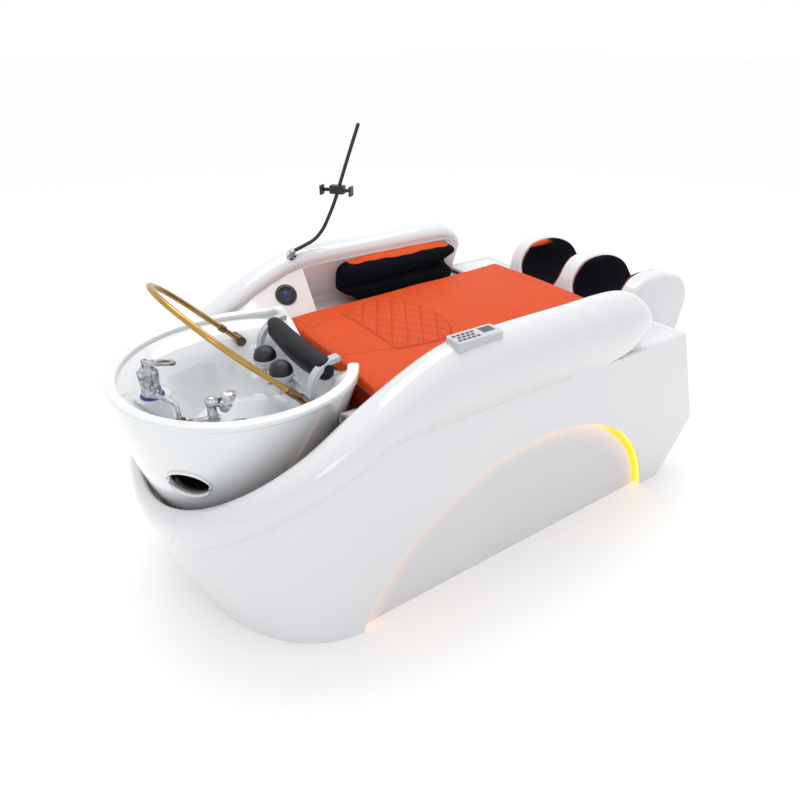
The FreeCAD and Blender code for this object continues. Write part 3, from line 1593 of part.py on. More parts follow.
# Mattress: crowned top, full sides, sewn channels round and in a quilted field
def mattress_section(x, low, high, half):
    side = n.mattress_side
    shoulder = high - n.mattress_edge
    middle = (low + shoulder) / 2
    a, b = Vector(x, -half + side, low), Vector(x, half - side, low)
    c, d = Vector(x, half - side, shoulder), Vector(x, -half + side, shoulder)
    edges = [line(a, b), Part.Arc(b, Vector(x, half, middle), c).toShape(),
             Part.Arc(c, Vector(x, 0, high + n.mattress_crown), d).toShape(),
             Part.Arc(d, Vector(x, -half, middle), a).toShape()]
    return Part.Wire(edges)


def mattress_top(x):
    share = (x + n.mattress_head) / (n.mattress_head + n.mattress_foot)
    return n.mattress_low + between(n.mattress_head_height, n.mattress_foot_height, share)


# The quilted field is straight at its head end and round towards the foot:
# corners as shares of its length from the head and of its half width
QUILT_EDGE_SHARES = [(0, -0.82), (0.3, -0.95), (0.635, -1), (0.785, -0.91), (0.9, -0.72),
                     (0.987, -0.43), (1, -0.07), (0.96, 0.4), (0.87, 0.77), (0.618, 1),
                     (0.3, 0.92), (0, 0.77)]


def quilt_corners():
    length = n.quilt_head + n.quilt_foot
    return [Vector(length * along - n.quilt_head, n.quilt_side + n.quilt_half * across, 0)
            for along, across in QUILT_EDGE_SHARES]


# The part of the line from a to b that lies in the field, whose corners go
# round one way, or nothing
def inside_quilt(a, b, corners):
    low, high = 0, 1
    for first, second in zip(corners, corners[1:] + corners[:1]):
        edge = second - first
        start, end = [edge.x * (p.y - first.y) - edge.y * (p.x - first.x) for p in (a, b)]
        if start < 0 and end < 0:
            return None
        if start * end < 0:
            share = start / (start - end)
            low, high = (max(low, share), high) if start < 0 else (low, min(high, share))
    if (high - low) * (b - a).Length < n.quilt_long / 2:
        return None
    return between(a, b, low), between(a, b, high)


# Seams that never meet cut as one tool: those of one slant, and every second
# one along the field's edge
def quilt_seams():
    corners = quilt_corners()
    reach = 2 * n.quilt_half
    slant = n.quilt_long / n.quilt_wide * reach
    middle = (n.quilt_foot - n.quilt_head) / 2
    count = int((n.quilt_head + n.quilt_foot + slant) / n.quilt_long / 2) + 1
    edges = list(zip(corners, corners[1:] + corners[:1]))
    sets = [edges[0::2], edges[1::2]]
    for sign in (-1, 1):
        run = Vector(sign * slant, reach, 0) / 2
        centres = [Vector(middle + n.quilt_long * number, n.quilt_side, 0)
                   for number in range(-count, count + 1)]
        seams = [inside_quilt(centre - run, centre + run, corners) for centre in centres]
        sets.append([seam for seam in seams if seam])
    return sets


def mattress_block(depth):
    head, foot = -n.mattress_head, n.mattress_foot
    low = n.mattress_low - depth
    rows = [mattress_section(x, low, mattress_top(x) - depth, n.mattress_half)
            for x in (head - depth, foot + depth)]
    return Part.makeLoft(rows, True, True)


# Each sewn channel follows the crowned top at an even depth, a little less in
# each next set, where the earlier one's thread lies under it
GROOVE_SHARES = [1, 0.95, 0.9, 0.85]


def mattress_grooves():
    width = n.groove_width
    tools = []
    for seams, share in zip(quilt_seams(), GROOVE_SHARES):
        inner = mattress_block(n.groove_depth * share)
        walls = []
        for a, b in seams:
            wall = Part.makeBox((b - a).Length, width, 2 * n.mattress_foot_height,
                                Vector(0, -width / 2, 0))
            turn = Rotation(Vector(1, 0, 0), b - a)
            wall.Placement = Placement(Vector(a.x, a.y, n.mattress_low), turn)
            walls.append(wall)
        tools.append(Part.makeCompound(walls).cut(inner))
    return tools


def mattress_shape():
    return carved(mattress_block(0), mattress_grooves())


keep(feature("Mattress", mattress_shape()), "mattress")
base_half = s.mattress_half - s.mattress_side
base_top = s.mattress_low - s.soft_gap
base_bed = box("BaseBed", -s.bed_head - s.soft_gap, s.bed_foot, -base_half, base_half,
               s.bed_level + s.soft_gap, base_top)
base_apron = box("BaseApron", -s.mattress_head, -s.bed_head - s.soft_gap, -base_half, base_half,
                 s.base_drop, base_top)
keep(fuse("MattressBase", [base_bed, base_apron]), "mattress_base")


# Arm cushions: two lobes on the inner side, drawn in between them
CUSHION_ROUND_SHARE = 0.6
CUSHION_CROWN_SHARE = 0.4


def cushion_section(x, draw):
    floor = n.cushion_low + draw
    top = n.cushion_top - draw
    inner = n.cushion_inner + draw
    wall = float(wall_half(n.bed_level - n.liner_thickness)) - n.seat_gap - n.liner_thickness
    crest = mirrored(rail_points(0))[-1].y - n.seat_gap - n.liner_thickness
    lean = (wall - crest) / (n.rail_height - n.rail_under_drop - n.crease_height)
    room = n.soft_gap * 2 + draw
    outer_low = wall - room
    outer_top = wall - lean * (top - n.crease_height) - room
    shoulder = n.crease_height
    nip = Vector(x, inner + n.cushion_nip, n.cushion_groove)
    a = Vector(x, inner + n.cushion_round, floor)
    b = Vector(x, outer_low, floor)
    c = Vector(x, outer_low, shoulder)
    d = Vector(x, outer_top, top)
    e = Vector(x, inner + n.cushion_round * CUSHION_ROUND_SHARE, top)
    bulge_low = Vector(x, inner, (floor + nip.z) / 2)
    bulge_high = Vector(x, inner, (top + nip.z) / 2)
    crown = Vector(x, (d.y + e.y) / 2, top + n.cushion_lobe * CUSHION_CROWN_SHARE)
    edges = [line(a, b), line(b, c), line(c, d), Part.Arc(d, crown, e).toShape(),
             Part.Arc(e, bulge_high, nip).toShape(), Part.Arc(nip, bulge_low, a).toShape()]
    return Part.Wire(edges)


def cushion_shape():
    start, end = -n.cushion_start, n.cushion_end
    rows = [cushion_section(start, n.cushion_lobe), cushion_section(start + n.cushion_round, 0),
            cushion_section(end - n.cushion_round, 0), cushion_section(end, n.cushion_lobe)]
    return Part.makeLoft(rows, True, True)


keep(feature("ArmCushions", both_sides(cushion_shape())), "arm_cushions")

# Steel frame under the bed: two long tubes, cross tubes, posts and shelf
tube_low = s.frame_low
tube_top = s.frame_low + s.frame_tube
half_tube = s.frame_tube / 2
beams = [box("BeamNear", -s.frame_head, s.frame_foot, -s.frame_half, -s.frame_half + s.frame_tube,
             tube_low, tube_top),
         box("BeamFar", -s.frame_head, s.frame_foot, s.frame_half - s.frame_tube, s.frame_half,
             tube_low, tube_top)]
CROSS_SHARES = [0, 0.18, 0.5, 0.74, 1]
span = s.frame_head + s.frame_foot - s.frame_tube
for number, share in enumerate(CROSS_SHARES):
    start = -s.frame_head + span * share
    beams.append(box("Cross%d" % number, start, start + s.frame_tube, -s.frame_half, s.frame_half,
                     tube_low, tube_top))
beams.append(box("StandPlate", -s.basin_middle - s.stand_flange, -s.basin_middle + s.stand_flange,
                 -s.stand_flange, s.stand_flange, tube_top - s.stand_plate, tube_top))
POST_SHARES = [0.04, 0.5, 0.93]
bed_span = s.bed_head + s.bed_foot - s.frame_tube
for number, share in enumerate(POST_SHARES):
    start = -s.bed_head + bed_span * share
    for name, low in (("PostNear", -s.frame_half), ("PostFar", s.frame_half - s.frame_tube)):
        beams.append(box("%s%d" % (name, number), start, start + s.frame_tube, low,
                         low + s.frame_tube, tube_low, platform_low))
shelf_low = s.leg_bottom - s.stand_plate
for name, low in (("ShelfPostNear", -s.frame_half), ("ShelfPostFar", s.frame_half - s.frame_tube)):
    beams.append(box(name, s.frame_foot - s.frame_tube, s.frame_foot, low, low + s.frame_tube,
                     tube_low, shelf_low))
shelf = box("Shelf", s.frame_foot - s.frame_tube * 2, s.frame_foot + s.frame_tube * 2,
            -s.shelf_half, s.shelf_half, shelf_low, s.leg_bottom)
keep(fuse("BaseFrame", beams + [shelf]), "base_frame")

feet = []


def foot(name, x, y):
    piece = turned(name, [
        (ZERO, ZERO), (s.foot_radius, ZERO), (s.foot_radius, s.foot_pad / 2),
        (s.foot_stem, s.foot_pad), (s.foot_stem, s.frame_low), (ZERO, s.frame_low)])
    feet.append(place(piece, x, y, ZERO))


FOOT_SHARES = [0.03, 0.5, 0.97]
for number, share in enumerate(FOOT_SHARES):
    x = -s.frame_head + (s.frame_head + s.frame_foot) * share
    foot("FootNear%d" % number, x, -s.frame_half + half_tube)
    foot("FootFar%d" % number, x, s.frame_half - half_tube)
foot("FootMiddle", ZERO, ZERO)
keep(group("LevellingFeet", feet), "levelling_feet")

# Water pump on the frame between its cross tubes, and the power inlet
pump_start = -s.frame_head + span * CROSS_SHARES[2] + half_tube - s.pump_length / 2
pump_body = cylinder("PumpBody", s.pump_radius, s.pump_length, pump_start, ZERO,
                     tube_top + s.pump_radius + s.stand_plate, ALONG_X)
pump_foot = box("PumpFoot", pump_start, pump_start + s.pump_length, -s.pump_radius, s.pump_radius,
                tube_top, tube_top + s.stand_plate * 2)
keep(fuse("WaterPump", [pump_body, pump_foot]), "water_pump")


# Check every object and write one file for each piece
def finish():
    doc.recompute()
    for item in doc.Objects:
        for word in ("Invalid", "Error"):
            if word in item.State:
                raise RuntimeError("%s is %s" % (item.Label, item.State))
    os.makedirs("parts", exist_ok=True)
    for piece in nodes:
        shape = piece.Shape
        if shape.isNull() or not shape.isValid():
            raise RuntimeError("%s has no valid shape" % piece.Label)
        shape.exportStep("parts/%s.step" % piece.Label)
        print(piece.Label, len(shape.Solids), round(shape.Volume))


finish()
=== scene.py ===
import math

import bmesh
import bpy
import numpy as np
from mathutils import Matrix, Vector


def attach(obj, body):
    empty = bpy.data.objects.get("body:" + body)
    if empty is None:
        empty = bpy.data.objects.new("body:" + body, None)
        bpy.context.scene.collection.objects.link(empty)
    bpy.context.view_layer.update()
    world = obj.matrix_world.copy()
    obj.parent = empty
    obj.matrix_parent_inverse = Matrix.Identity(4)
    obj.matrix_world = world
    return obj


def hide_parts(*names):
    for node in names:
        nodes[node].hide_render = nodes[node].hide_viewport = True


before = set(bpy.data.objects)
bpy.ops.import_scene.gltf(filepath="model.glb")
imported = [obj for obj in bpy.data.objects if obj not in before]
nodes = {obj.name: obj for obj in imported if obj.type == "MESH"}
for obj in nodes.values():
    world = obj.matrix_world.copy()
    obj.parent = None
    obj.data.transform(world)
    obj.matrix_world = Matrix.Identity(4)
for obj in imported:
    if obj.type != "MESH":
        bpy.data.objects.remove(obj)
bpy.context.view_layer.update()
scene = bpy.context.scene
print("frame loaded:", len(nodes), "nodes")

cameraLook = {
    "place": (-1.0833, -1.4888, 1.4650),
    "heading": 56.0,        # degrees from +X towards +Y
    "pitch": 30.6,          # degrees below the horizon
    "roll": -0.2,
    "focalPixels": 618.9,   # focal length in pixels of a frame 800 wide
    "frameWidth": 800,
    "sensor": 36.0,
    "clip": (0.05, 60),
}


def addObject(name, data):
    piece = bpy.data.objects.new(name, data)
    scene.collection.objects.link(piece)
    return piece


def makeCamera(look):
    heading, pitch, roll = (math.radians(look[k]) for k in ("heading", "pitch", "roll"))
    level = Vector((math.cos(heading), math.sin(heading), 0))
    side = Vector((math.sin(heading), -math.cos(heading), 0))
    ahead = level * math.cos(pitch) - Vector((0, 0, 1)) * math.sin(pitch)
    down = -(Vector((0, 0, 1)) * math.cos(pitch) + level * math.sin(pitch))
    right = side * math.cos(roll) + down * math.sin(roll)
    below = down * math.cos(roll) - side * math.sin(roll)
    data = bpy.data.cameras.new("camera")
    data.sensor_width = look["sensor"]
    data.lens = look["focalPixels"] / look["frameWidth"] * look["sensor"]
    data.clip_start, data.clip_end = look["clip"]
    camera = addObject("camera", data)
    turn = Matrix((right, -below, -ahead)).transposed()
    camera.matrix_world = Matrix.Translation(look["place"]) @ turn.to_4x4()
    scene.camera = camera


makeCamera(cameraLook)


# Gives a node's inputs their sockets or values, by name or number
def feed(tree, node, inputs):
    for key, value in inputs.items():
        socket = node.inputs[key]
        if isinstance(value, bpy.types.NodeSocket):
            tree.links.new(value, socket)
        elif socket.type == "RGBA":
            socket.default_value = (*value[:3], 1)
        else:
            socket.default_value = value


def addNode(tree, kind, inputs=None, **settings):
    node = tree.nodes.new("ShaderNode" + kind)
    for key, value in settings.items():
        setattr(node, key, value)
    feed(tree, node, inputs or {})
    return node


def mathNode(tree, kind, *values, clamp=False):
    return addNode(tree, "Math", dict(enumerate(values)), operation=kind, use_clamp=clamp).outputs[0]


def rangeNode(tree, value, low, high, outLow=0.0, outHigh=1.0, smooth=True):
    inputs = {"Value": value, "From Min": low, "From Max": high, "To Min": outLow, "To Max": outHigh}
    kind = "SMOOTHSTEP" if smooth else "LINEAR"
    return addNode(tree, "MapRange", inputs, interpolation_type=kind).outputs["Result"]


# Inputs 6 and 7 and output 2 are the mix node's colours
def mixColors(tree, share, first, second):
    return addNode(tree, "Mix", {"Factor": share, 6: first, 7: second}, data_type="RGBA").outputs[2]


def axisOf(tree, vector, letter):
    return addNode(tree, "SeparateXYZ", {0: vector}).outputs[letter]


def objectPoint(tree):
    return addNode(tree, "TexCoord").outputs["Object"]


def newGroup(name, inputs, outputs):
    group = bpy.data.node_groups.new(name, "ShaderNodeTree")
    for label, kind, value in inputs:
        socket = group.interface.new_socket(label, in_out="INPUT", socket_type="NodeSocket" + kind)
        socket.default_value = value
    for label, kind in outputs:
        group.interface.new_socket(label, in_out="OUTPUT", socket_type="NodeSocket" + kind)
    return group, group.nodes.new("NodeGroupInput").outputs, group.nodes.new("NodeGroupOutput")


# Shade: mixes two colours by soft cloudy noise, and gives the noise as a mask
def makeShadeGroup():
    group, given, result = newGroup("softShade", [
        ("Vector", "Vector", (0, 0, 0)), ("Color A", "Color", (1, 1, 1, 1)),
        ("Color B", "Color", (0.5, 0.5, 0.5, 1)), ("Scale", "Float", 4.0), ("Contrast", "Float", 1.0)],
        [("Color", "Color"), ("Mask", "Float")])
    noise = addNode(group, "TexNoise", {"Vector": given["Vector"], "Scale": given["Scale"],
                                        "Detail": 4.0, "Roughness": 0.55})
    centre = mathNode(group, "MULTIPLY_ADD", given["Contrast"], -0.5, 0.5)
    mask = mathNode(group, "MULTIPLY_ADD", noise.outputs["Fac"], given["Contrast"], centre, clamp=True)
    feed(group, result, {"Color": mixColors(group, mask, given["Color A"], given["Color B"]), "Mask": mask})
    return group


# Grain: pebbled leather cells over longer creases, as one height
def makeGrainGroup():
    group, given, result = newGroup("leatherGrain", [
        ("Vector", "Vector", (0, 0, 0)), ("Scale", "Float", 700.0),
        ("Crease Scale", "Float", 24.0), ("Crease", "Float", 0.6)], [("Height", "Float")])
    cells = addNode(group, "TexVoronoi", {"Vector": given["Vector"], "Scale": given["Scale"],
                                          "Smoothness": 0.4}, feature="SMOOTH_F1")
    crease = addNode(group, "TexNoise", {"Vector": given["Vector"], "Scale": given["Crease Scale"],
                                         "Detail": 6.0, "Roughness": 0.6, "Distortion": 0.8})
    feed(group, result, {"Height": mathNode(group, "MULTIPLY_ADD", crease.outputs["Fac"], given["Crease"],
                                            cells.outputs["Distance"])})
    return group


# Knit: sine ribs along X and Y multiplied, with ribs along Z added
def makeKnitGroup():
    group, given, result = newGroup("fineKnit", [
        ("Vector", "Vector", (0, 0, 0)), ("Scale", "Float", 260.0)], [("Height", "Float")])
    ribs = [addNode(group, "TexWave", {"Vector": given["Vector"], "Scale": given["Scale"], "Distortion": 0.6,
                                       "Detail": 1.0, "Detail Scale": 3.0}, bands_direction=letter)
            for letter in "XYZ"]
    first, second, third = (rib.outputs["Fac"] for rib in ribs)
    feed(group, result, {"Height": mathNode(group, "ADD", mathNode(group, "MULTIPLY", first, second), third)})
    return group


shadeGroup = makeShadeGroup()
grainGroup = makeGrainGroup()
knitGroup = makeKnitGroup()


def newMaterial(name, color, **values):
    material = bpy.data.materials.new(name)
    material.use_nodes = True
    tree = material.node_tree
    shader = tree.nodes["Principled BSDF"]
    feed(tree, shader, {"Base Color": color})
    feed(tree, shader, {key.replace("_", " "): value for key, value in values.items()})
    return material, tree, shader


def addShade(tree, point, first, second, scale, contrast):
    inputs = {"Vector": point, "Color A": first, "Color B": second, "Scale": scale, "Contrast": contrast}
    return addNode(tree, "Group", inputs, node_tree=shadeGroup).outputs


def addBump(tree, shader, height, strength, distance):
    bump = addNode(tree, "Bump", {"Height": height, "Strength": strength, "Distance": distance})
    feed(tree, shader, {"Normal": bump.outputs["Normal"]})


# The piece's own mask, stored as an attribute, turns the colour into another
def addMarked(tree, attribute, color, marked):
    mask = addNode(tree, "Attribute", attribute_name=attribute)
    return mixColors(tree, mask.outputs["Fac"], color, marked)


glossLook = {
    "white": (0.655, 0.66, 0.68), "cool": (0.62, 0.63, 0.655), "roughness": 0.16, "roughRange": (0.7, 1.4),
    "cloudScale": 2.2, "contrast": 1.6, "waveScale": 3.5, "wave": 0.10, "waveHeight": 0.004,
}


def makeGloss(name, coat=0.8, **changes):
    look = dict(glossLook, **changes)
    rough = look["roughness"]
    material, tree, shader = newMaterial(name, look["white"], Roughness=rough,
                                         Coat_Weight=coat, Coat_Roughness=0.04)
    point = objectPoint(tree)
    shade = addShade(tree, point, look["white"], look["cool"], look["cloudScale"], look["contrast"])
    wave = addNode(tree, "TexNoise", {"Vector": point, "Scale": look["waveScale"], "Detail": 1.0,
                                      "Roughness": 0.4})
    low, high = look["roughRange"]
    feed(tree, shader, {"Base Color": shade["Color"],
                        "Roughness": rangeNode(tree, shade["Mask"], 0, 1, rough * low, rough * high, False)})
    addBump(tree, shader, wave.outputs["Fac"], look["wave"], look["waveHeight"])
    return material


leatherLook = {
    "orange": (0.60, 0.066, 0.006), "shade": (0.54, 0.052, 0.005), "thread": (0.27, 0.020, 0.003),
    "roughness": 0.55, "specular": 0.22, "grain": 650.0, "creaseScale": 20.0, "cloudScale": 7.0,
    "contrast": 1.5, "bump": 0.35, "depth": 0.0006,
}


def makeLeather(name, **changes):
    look = dict(leatherLook, **changes)
    material, tree, shader = newMaterial(name, look["orange"], Roughness=look["roughness"],
                                         Specular_IOR_Level=look["specular"])
    point = objectPoint(tree)
    grain = addNode(tree, "Group", node_tree=grainGroup)
    feed(tree, grain, {"Vector": point, "Scale": look["grain"], "Crease Scale": look["creaseScale"]})
    shade = addShade(tree, point, look["orange"], look["shade"], look["cloudScale"], look["contrast"])
    feed(tree, shader, {"Base Color": addMarked(tree, "seam", shade["Color"], look["thread"])})
    addBump(tree, shader, grain.outputs["Height"], look["bump"], look["depth"])
    return material


knitLook = {
    "black": (0.0022, 0.0026, 0.0052), "grey": (0.0042, 0.0050, 0.0090), "trim": (0.58, 0.075, 0.018),
    "scale": 240.0, "cloudScale": 12.0, "contrast": 1.6, "roughness": 0.75, "shine": 0.06,
    "bump": 0.4, "depth": 0.0004,
}


# A knit cover, with a trim of orange leather where the piece's own mask says
def makeKnit(name, trimmed, **changes):
    look = dict(knitLook, **changes)
    material, tree, shader = newMaterial(name, look["black"], Roughness=look["roughness"],
                                         Specular_IOR_Level=look["shine"])
    point = objectPoint(tree)
    knit = addNode(tree, "Group", node_tree=knitGroup)
    feed(tree, knit, {"Vector": point, "Scale": look["scale"]})
    color = addShade(tree, point, look["black"], look["grey"], look["cloudScale"], look["contrast"])["Color"]
    if trimmed:
        color = addMarked(tree, "trim", color, look["trim"])
    feed(tree, shader, {"Base Color": color})
    addBump(tree, shader, knit.outputs["Height"], look["bump"], look["depth"])
    return material


plasticLook = {"contrast": 1.8, "roughRange": (0.75, 1.35), "detail": 3.0, "fineRough": 0.6}


def makePlastic(name, color, second, roughness, scale=30.0, bump=0.15, depth=0.0003, grain=400.0, **values):
    look = plasticLook
    material, tree, shader = newMaterial(name, color, Roughness=roughness, **values)
    point = objectPoint(tree)
    shade = addShade(tree, point, color, second, scale, look["contrast"])
    low, high = (share * roughness for share in look["roughRange"])
    feed(tree, shader, {"Base Color": shade["Color"],
                        "Roughness": rangeNode(tree, shade["Mask"], 0, 1, low, min(1.0, high), False)})
    fine = addNode(tree, "TexNoise", {"Vector": point, "Scale": grain, "Detail": look["detail"],
                                      "Roughness": look["fineRough"]})
    addBump(tree, shader, fine.outputs["Fac"], bump, depth)
    return material


# One on faces that look away from the bed's middle plane, zero on those that look towards it
def outwardMask(tree):
    source = addNode(tree, "TexCoord").outputs
    side = mathNode(tree, "SIGN", axisOf(tree, source["Object"], "Y"))
    return rangeNode(tree, mathNode(tree, "MULTIPLY", side, axisOf(tree, source["Normal"], "Y")), -0.35, 0.0)


lightLook = {"amber": (1.0, 0.62, 0.0), "peach": (0.55, 0.275, 0.121), "cover": (1.0, 0.8, 0.45),
             "roughness": 0.4, "strength": 1.3, "peachEnd": 0.25, "amberStart": 0.60,
             "flecks": 60.0, "bump": 0.2, "depth": 0.001}


def makeLightStrip(look):
    material, tree, shader = newMaterial("arch_light", look["cover"], Roughness=look["roughness"],
                                         Emission_Strength=look["strength"])
    point = objectPoint(tree)
    share = rangeNode(tree, axisOf(tree, point, "X"), look["peachEnd"], look["amberStart"])
    color = mixColors(tree, share, look["peach"], look["amber"])
    feed(tree, shader, {"Emission Color": mixColors(tree, outwardMask(tree), (0, 0, 0), color)})
    flecks = addNode(tree, "TexNoise", {"Vector": point, "Scale": look["flecks"], "Detail": 1.0})
    addBump(tree, shader, flecks.outputs["Fac"], look["bump"], look["depth"])
    return material


# Painted glow of the light strip on the recessed panel, given off by the panel's own emission: bright where
# the panel meets the arch's edge, fading with the distance from it, peach at the head and amber at the foot
paintedGlowLook = {
    "centre": (0.105, -0.183), "radius": 0.638, "line": 0.006, "fade": 0.040, "fadeReach": 2.4,
    "fadePower": 2.2, "peach": (1.0, 0.44, 0.12), "amber": (1.0, 0.66, 0.0), "from": 0.30, "to": 0.50,
    "band": 0.022, "lineShare": 0.55, "peachGlow": 0.46, "lineGlow": 0.9, "bandGlow": 1.0,
    "amberGlow": 0.5, "dark": (0.10, 0.06, 0.0),
}


def makePaintedGlow(material, look):
    tree = material.node_tree
    shader = tree.nodes["Principled BSDF"]
    point = objectPoint(tree)
    x = axisOf(tree, point, "X")

    def do(kind, *values, clamp=False):
        return mathNode(tree, kind, *values, clamp=clamp)

    along = do("SUBTRACT", x, look["centre"][0])
    up = do("SUBTRACT", axisOf(tree, point, "Z"), look["centre"][1])
    far = do("SQRT", do("ADD", do("MULTIPLY", along, along), do("MULTIPLY", up, up)))
    inside = do("SUBTRACT", look["radius"], far)
    amber = rangeNode(tree, x, look["from"], look["to"])
    fade = do("POWER", rangeNode(tree, inside, look["fade"] * look["fadeReach"], 0.0, smooth=False),
              look["fadePower"])
    line = rangeNode(tree, inside, look["line"] * 1.5, look["line"] * 0.5)
    width = rangeNode(tree, x, look["from"], look["to"], look["line"], look["band"])
    band = rangeNode(tree, do("DIVIDE", inside, width), 1.08, 0.92)
    soft = do("MULTIPLY_ADD", fade, look["peachGlow"], do("MULTIPLY", line, look["lineGlow"]))
    strong = do("MULTIPLY_ADD", band, look["bandGlow"], do("MULTIPLY", fade, look["amberGlow"]))
    ease = do("MULTIPLY_ADD", do("SUBTRACT", strong, soft), amber, soft, clamp=True)
    ease = do("MULTIPLY", ease, outwardMask(tree))
    color = mixColors(tree, amber, look["peach"], mixColors(tree, band, look["peach"], look["amber"]))
    # under the painted glowing band and line the paint is dark, so that their emitted light alone gives the
    # colour
    paint = shader.inputs["Base Color"].links[0].from_socket
    lit = do("MAXIMUM", do("MULTIPLY", band, amber), do("MULTIPLY", line, look["lineShare"]))
    feed(tree, shader, {"Emission Color": mixColors(tree, ease, (0, 0, 0), color), "Emission Strength": 1.0,
                        "Base Color": mixColors(tree, lit, paint, look["dark"])})


gelcoat = makeGloss("gloss_white")
# the arch panel's white, with the light strip's glow painted on it as emission
archWhite = makeGloss("arch_white", 0.1, white=(0.62, 0.615, 0.635), cool=(0.58, 0.58, 0.60), roughness=0.35)
makePaintedGlow(archWhite, paintedGlowLook)
linerWhite = makeGloss("liner_white", white=(0.74, 0.69, 0.70), cool=(0.70, 0.655, 0.665))
glaze = makeGloss("basin_glaze", 1.0, white=(0.72, 0.735, 0.75), cool=(0.68, 0.70, 0.72), roughness=0.10)
panelWhite = makeGloss("panel_white", 0.2, white=(0.50, 0.51, 0.55), cool=(0.46, 0.47, 0.51), roughness=0.35)
mattressLeather = makeLeather("orange_leather")
baseLeather = makeLeather("dark_leather", orange=(0.50, 0.052, 0.008), shade=(0.40, 0.038, 0.006))
blackKnit = makeKnit("black_knit", True)
pillowSkin = makeKnit("pillow_skin", False, black=(0.0045, 0.0050, 0.0085), grey=(0.0080, 0.0086, 0.0125),
                      roughness=0.45, shine=0.22, scale=420.0, bump=0.2)
# near-black for the plates behind the basin's openings: painted shade, standing in for the dark inside of the
# openings
paintedShadeBlack = makePlastic("painted_shade_black", (0.002, 0.002, 0.002), (0.005, 0.005, 0.005), 0.9, 40.0, 0.1,
                        Specular_IOR_Level=0.05)
piping = makePlastic("red_piping", (0.42, 0.03, 0.014), (0.34, 0.022, 0.012), 0.45, 60.0, 0.2)
zipBlack = makePlastic("zip_black", (0.012, 0.012, 0.013), (0.022, 0.022, 0.024), 0.6, 90.0, 0.4)
speakerBlue = makePlastic("speaker_blue", (0.010, 0.020, 0.36), (0.004, 0.005, 0.05), 0.25, 160.0, 0.2)
# chrome: the dark second colour, mixed in by clouds, is painted reflection, dark patches standing in for
# surroundings mirrored in the metal
chrome = makePlastic("chrome", (0.78, 0.79, 0.81), (0.16, 0.17, 0.19), 0.09, 75.0, 0.03, grain=120.0,
                     Metallic=1.0)

# name, colour, second colour, roughness, scale of the clouds and bump, then other values, then the nodes
finishes = [
    ("brushed_brass", (0.52, 0.33, 0.11), (0.40, 0.23, 0.065), 0.26, 26.0, 0.12,
     {"depth": 0.0002, "grain": 900.0, "Metallic": 1.0}, "hoop_tube"),
    ("bronze_fitting", (0.30, 0.19, 0.11), (0.15, 0.085, 0.045), 0.28, 30.0, 0.15,
     {"grain": 500.0, "Metallic": 1.0}, "hoop_elbow_near hoop_clamp_far hoop_pivots"),
    ("steel_paint", (0.035, 0.035, 0.038), (0.055, 0.053, 0.05), 0.45, 9.0, 0.25,
     {"depth": 0.0005}, "base_frame basin_stand"),
    ("rubber", (0.022, 0.022, 0.023), (0.04, 0.038, 0.036), 0.75, 40.0, 0.3, {},
     "levelling_feet hose_grommet"),
    ("speaker_black", (0.005, 0.005, 0.007), (0.010, 0.010, 0.013), 0.40, 60.0, 0.25, {}, "speakers"),
    ("grey_plastic", (0.47, 0.50, 0.53), (0.42, 0.45, 0.48), 0.34, 14.0, 0.1, {},
     "neck_bracket ball_cups pillow_buckle water_pump"),
    ("ball_black", (0.005, 0.0055, 0.009), (0.009, 0.0095, 0.014), 0.42, 30.0, 0.2, {},
     "head_ball_near head_ball_far"),
    ("holder_black", (0.006, 0.006, 0.008), (0.011, 0.011, 0.013), 0.42, 50.0, 0.3, {},
     "phone_rod clamp_body clamp_jaw"),
    ("sealed_board", (0.50, 0.49, 0.47), (0.42, 0.41, 0.39), 0.6, 14.0, 0.4,
     {"depth": 0.0008, "grain": 90.0}, "bed_platform"),
    ("display_glass", (0.050, 0.060, 0.068), (0.062, 0.072, 0.080), 0.2, 20.0, 0.02, {}, "control_display"),
    ("blue_ring", (0.02, 0.05, 0.40), (0.015, 0.035, 0.30), 0.4, 30.0, 0.2, {}, "mixer_gasket"),
    ("key_dark", (0.07, 0.075, 0.09), (0.10, 0.105, 0.12), 0.42, 60.0, 0.15, {},
     " ".join("panel_key_%02d" % number for number in range(1, 15))),
]


def paintNodes(names, material):
    for name in names.split():
        slots = nodes[name].material_slots
        for slot in slots:
            slot.material = material
        if not slots:
            nodes[name].data.materials.append(material)


for name, color, second, roughness, scale, bump, values, names in finishes:
    paintNodes(names, makePlastic(name, color, second, roughness, scale, bump, **values))
paintNodes("hull_shell armrest_rail foot_deck leg_shell", gelcoat)
paintNodes("arch_panels", archWhite)
paintNodes("light_strips", makeLightStrip(lightLook))
paintNodes("side_liners", linerWhite)
paintNodes("basin", glaze)
paintNodes("control_housing", panelWhite)
paintNodes("mixer_body mixer_cap mixer_lever hose_coupling spray_holder diverter_lever spray_head "
           "basin_waste phone_base phone_swivel shower_hose", chrome)
paintNodes("mattress", mattressLeather)
paintNodes("mattress_base", baseLeather)
paintNodes("arm_cushions leg_liners", blackKnit)
paintNodes("neck_pillow", pillowSkin)
print("materials done:", len(bpy.data.materials))


def ringOf(count):
    return np.linspace(0, 2 * np.pi, count, endpoint=False)


def unit(vectors):
    return vectors / np.linalg.norm(vectors, axis=-1, keepdims=True)


# Keeps the sign: a power under one squares a round section's corners
def bend(value, power):
    return np.sign(value) * np.abs(value) ** power


def freshMesh(piece):
    return bpy.data.meshes.new_from_object(piece.evaluated_get(bpy.context.evaluated_depsgraph_get()))


def pointsOf(mesh):
    values = np.empty(len(mesh.vertices) * 3, np.float32)
    mesh.vertices.foreach_get("co", values)
    return values.reshape(-1, 3)


def addMask(piece, name, values):
    layer = piece.data.attributes.new(name, "FLOAT", "POINT")
    layer.data.foreach_set("value", values.astype(np.float32))


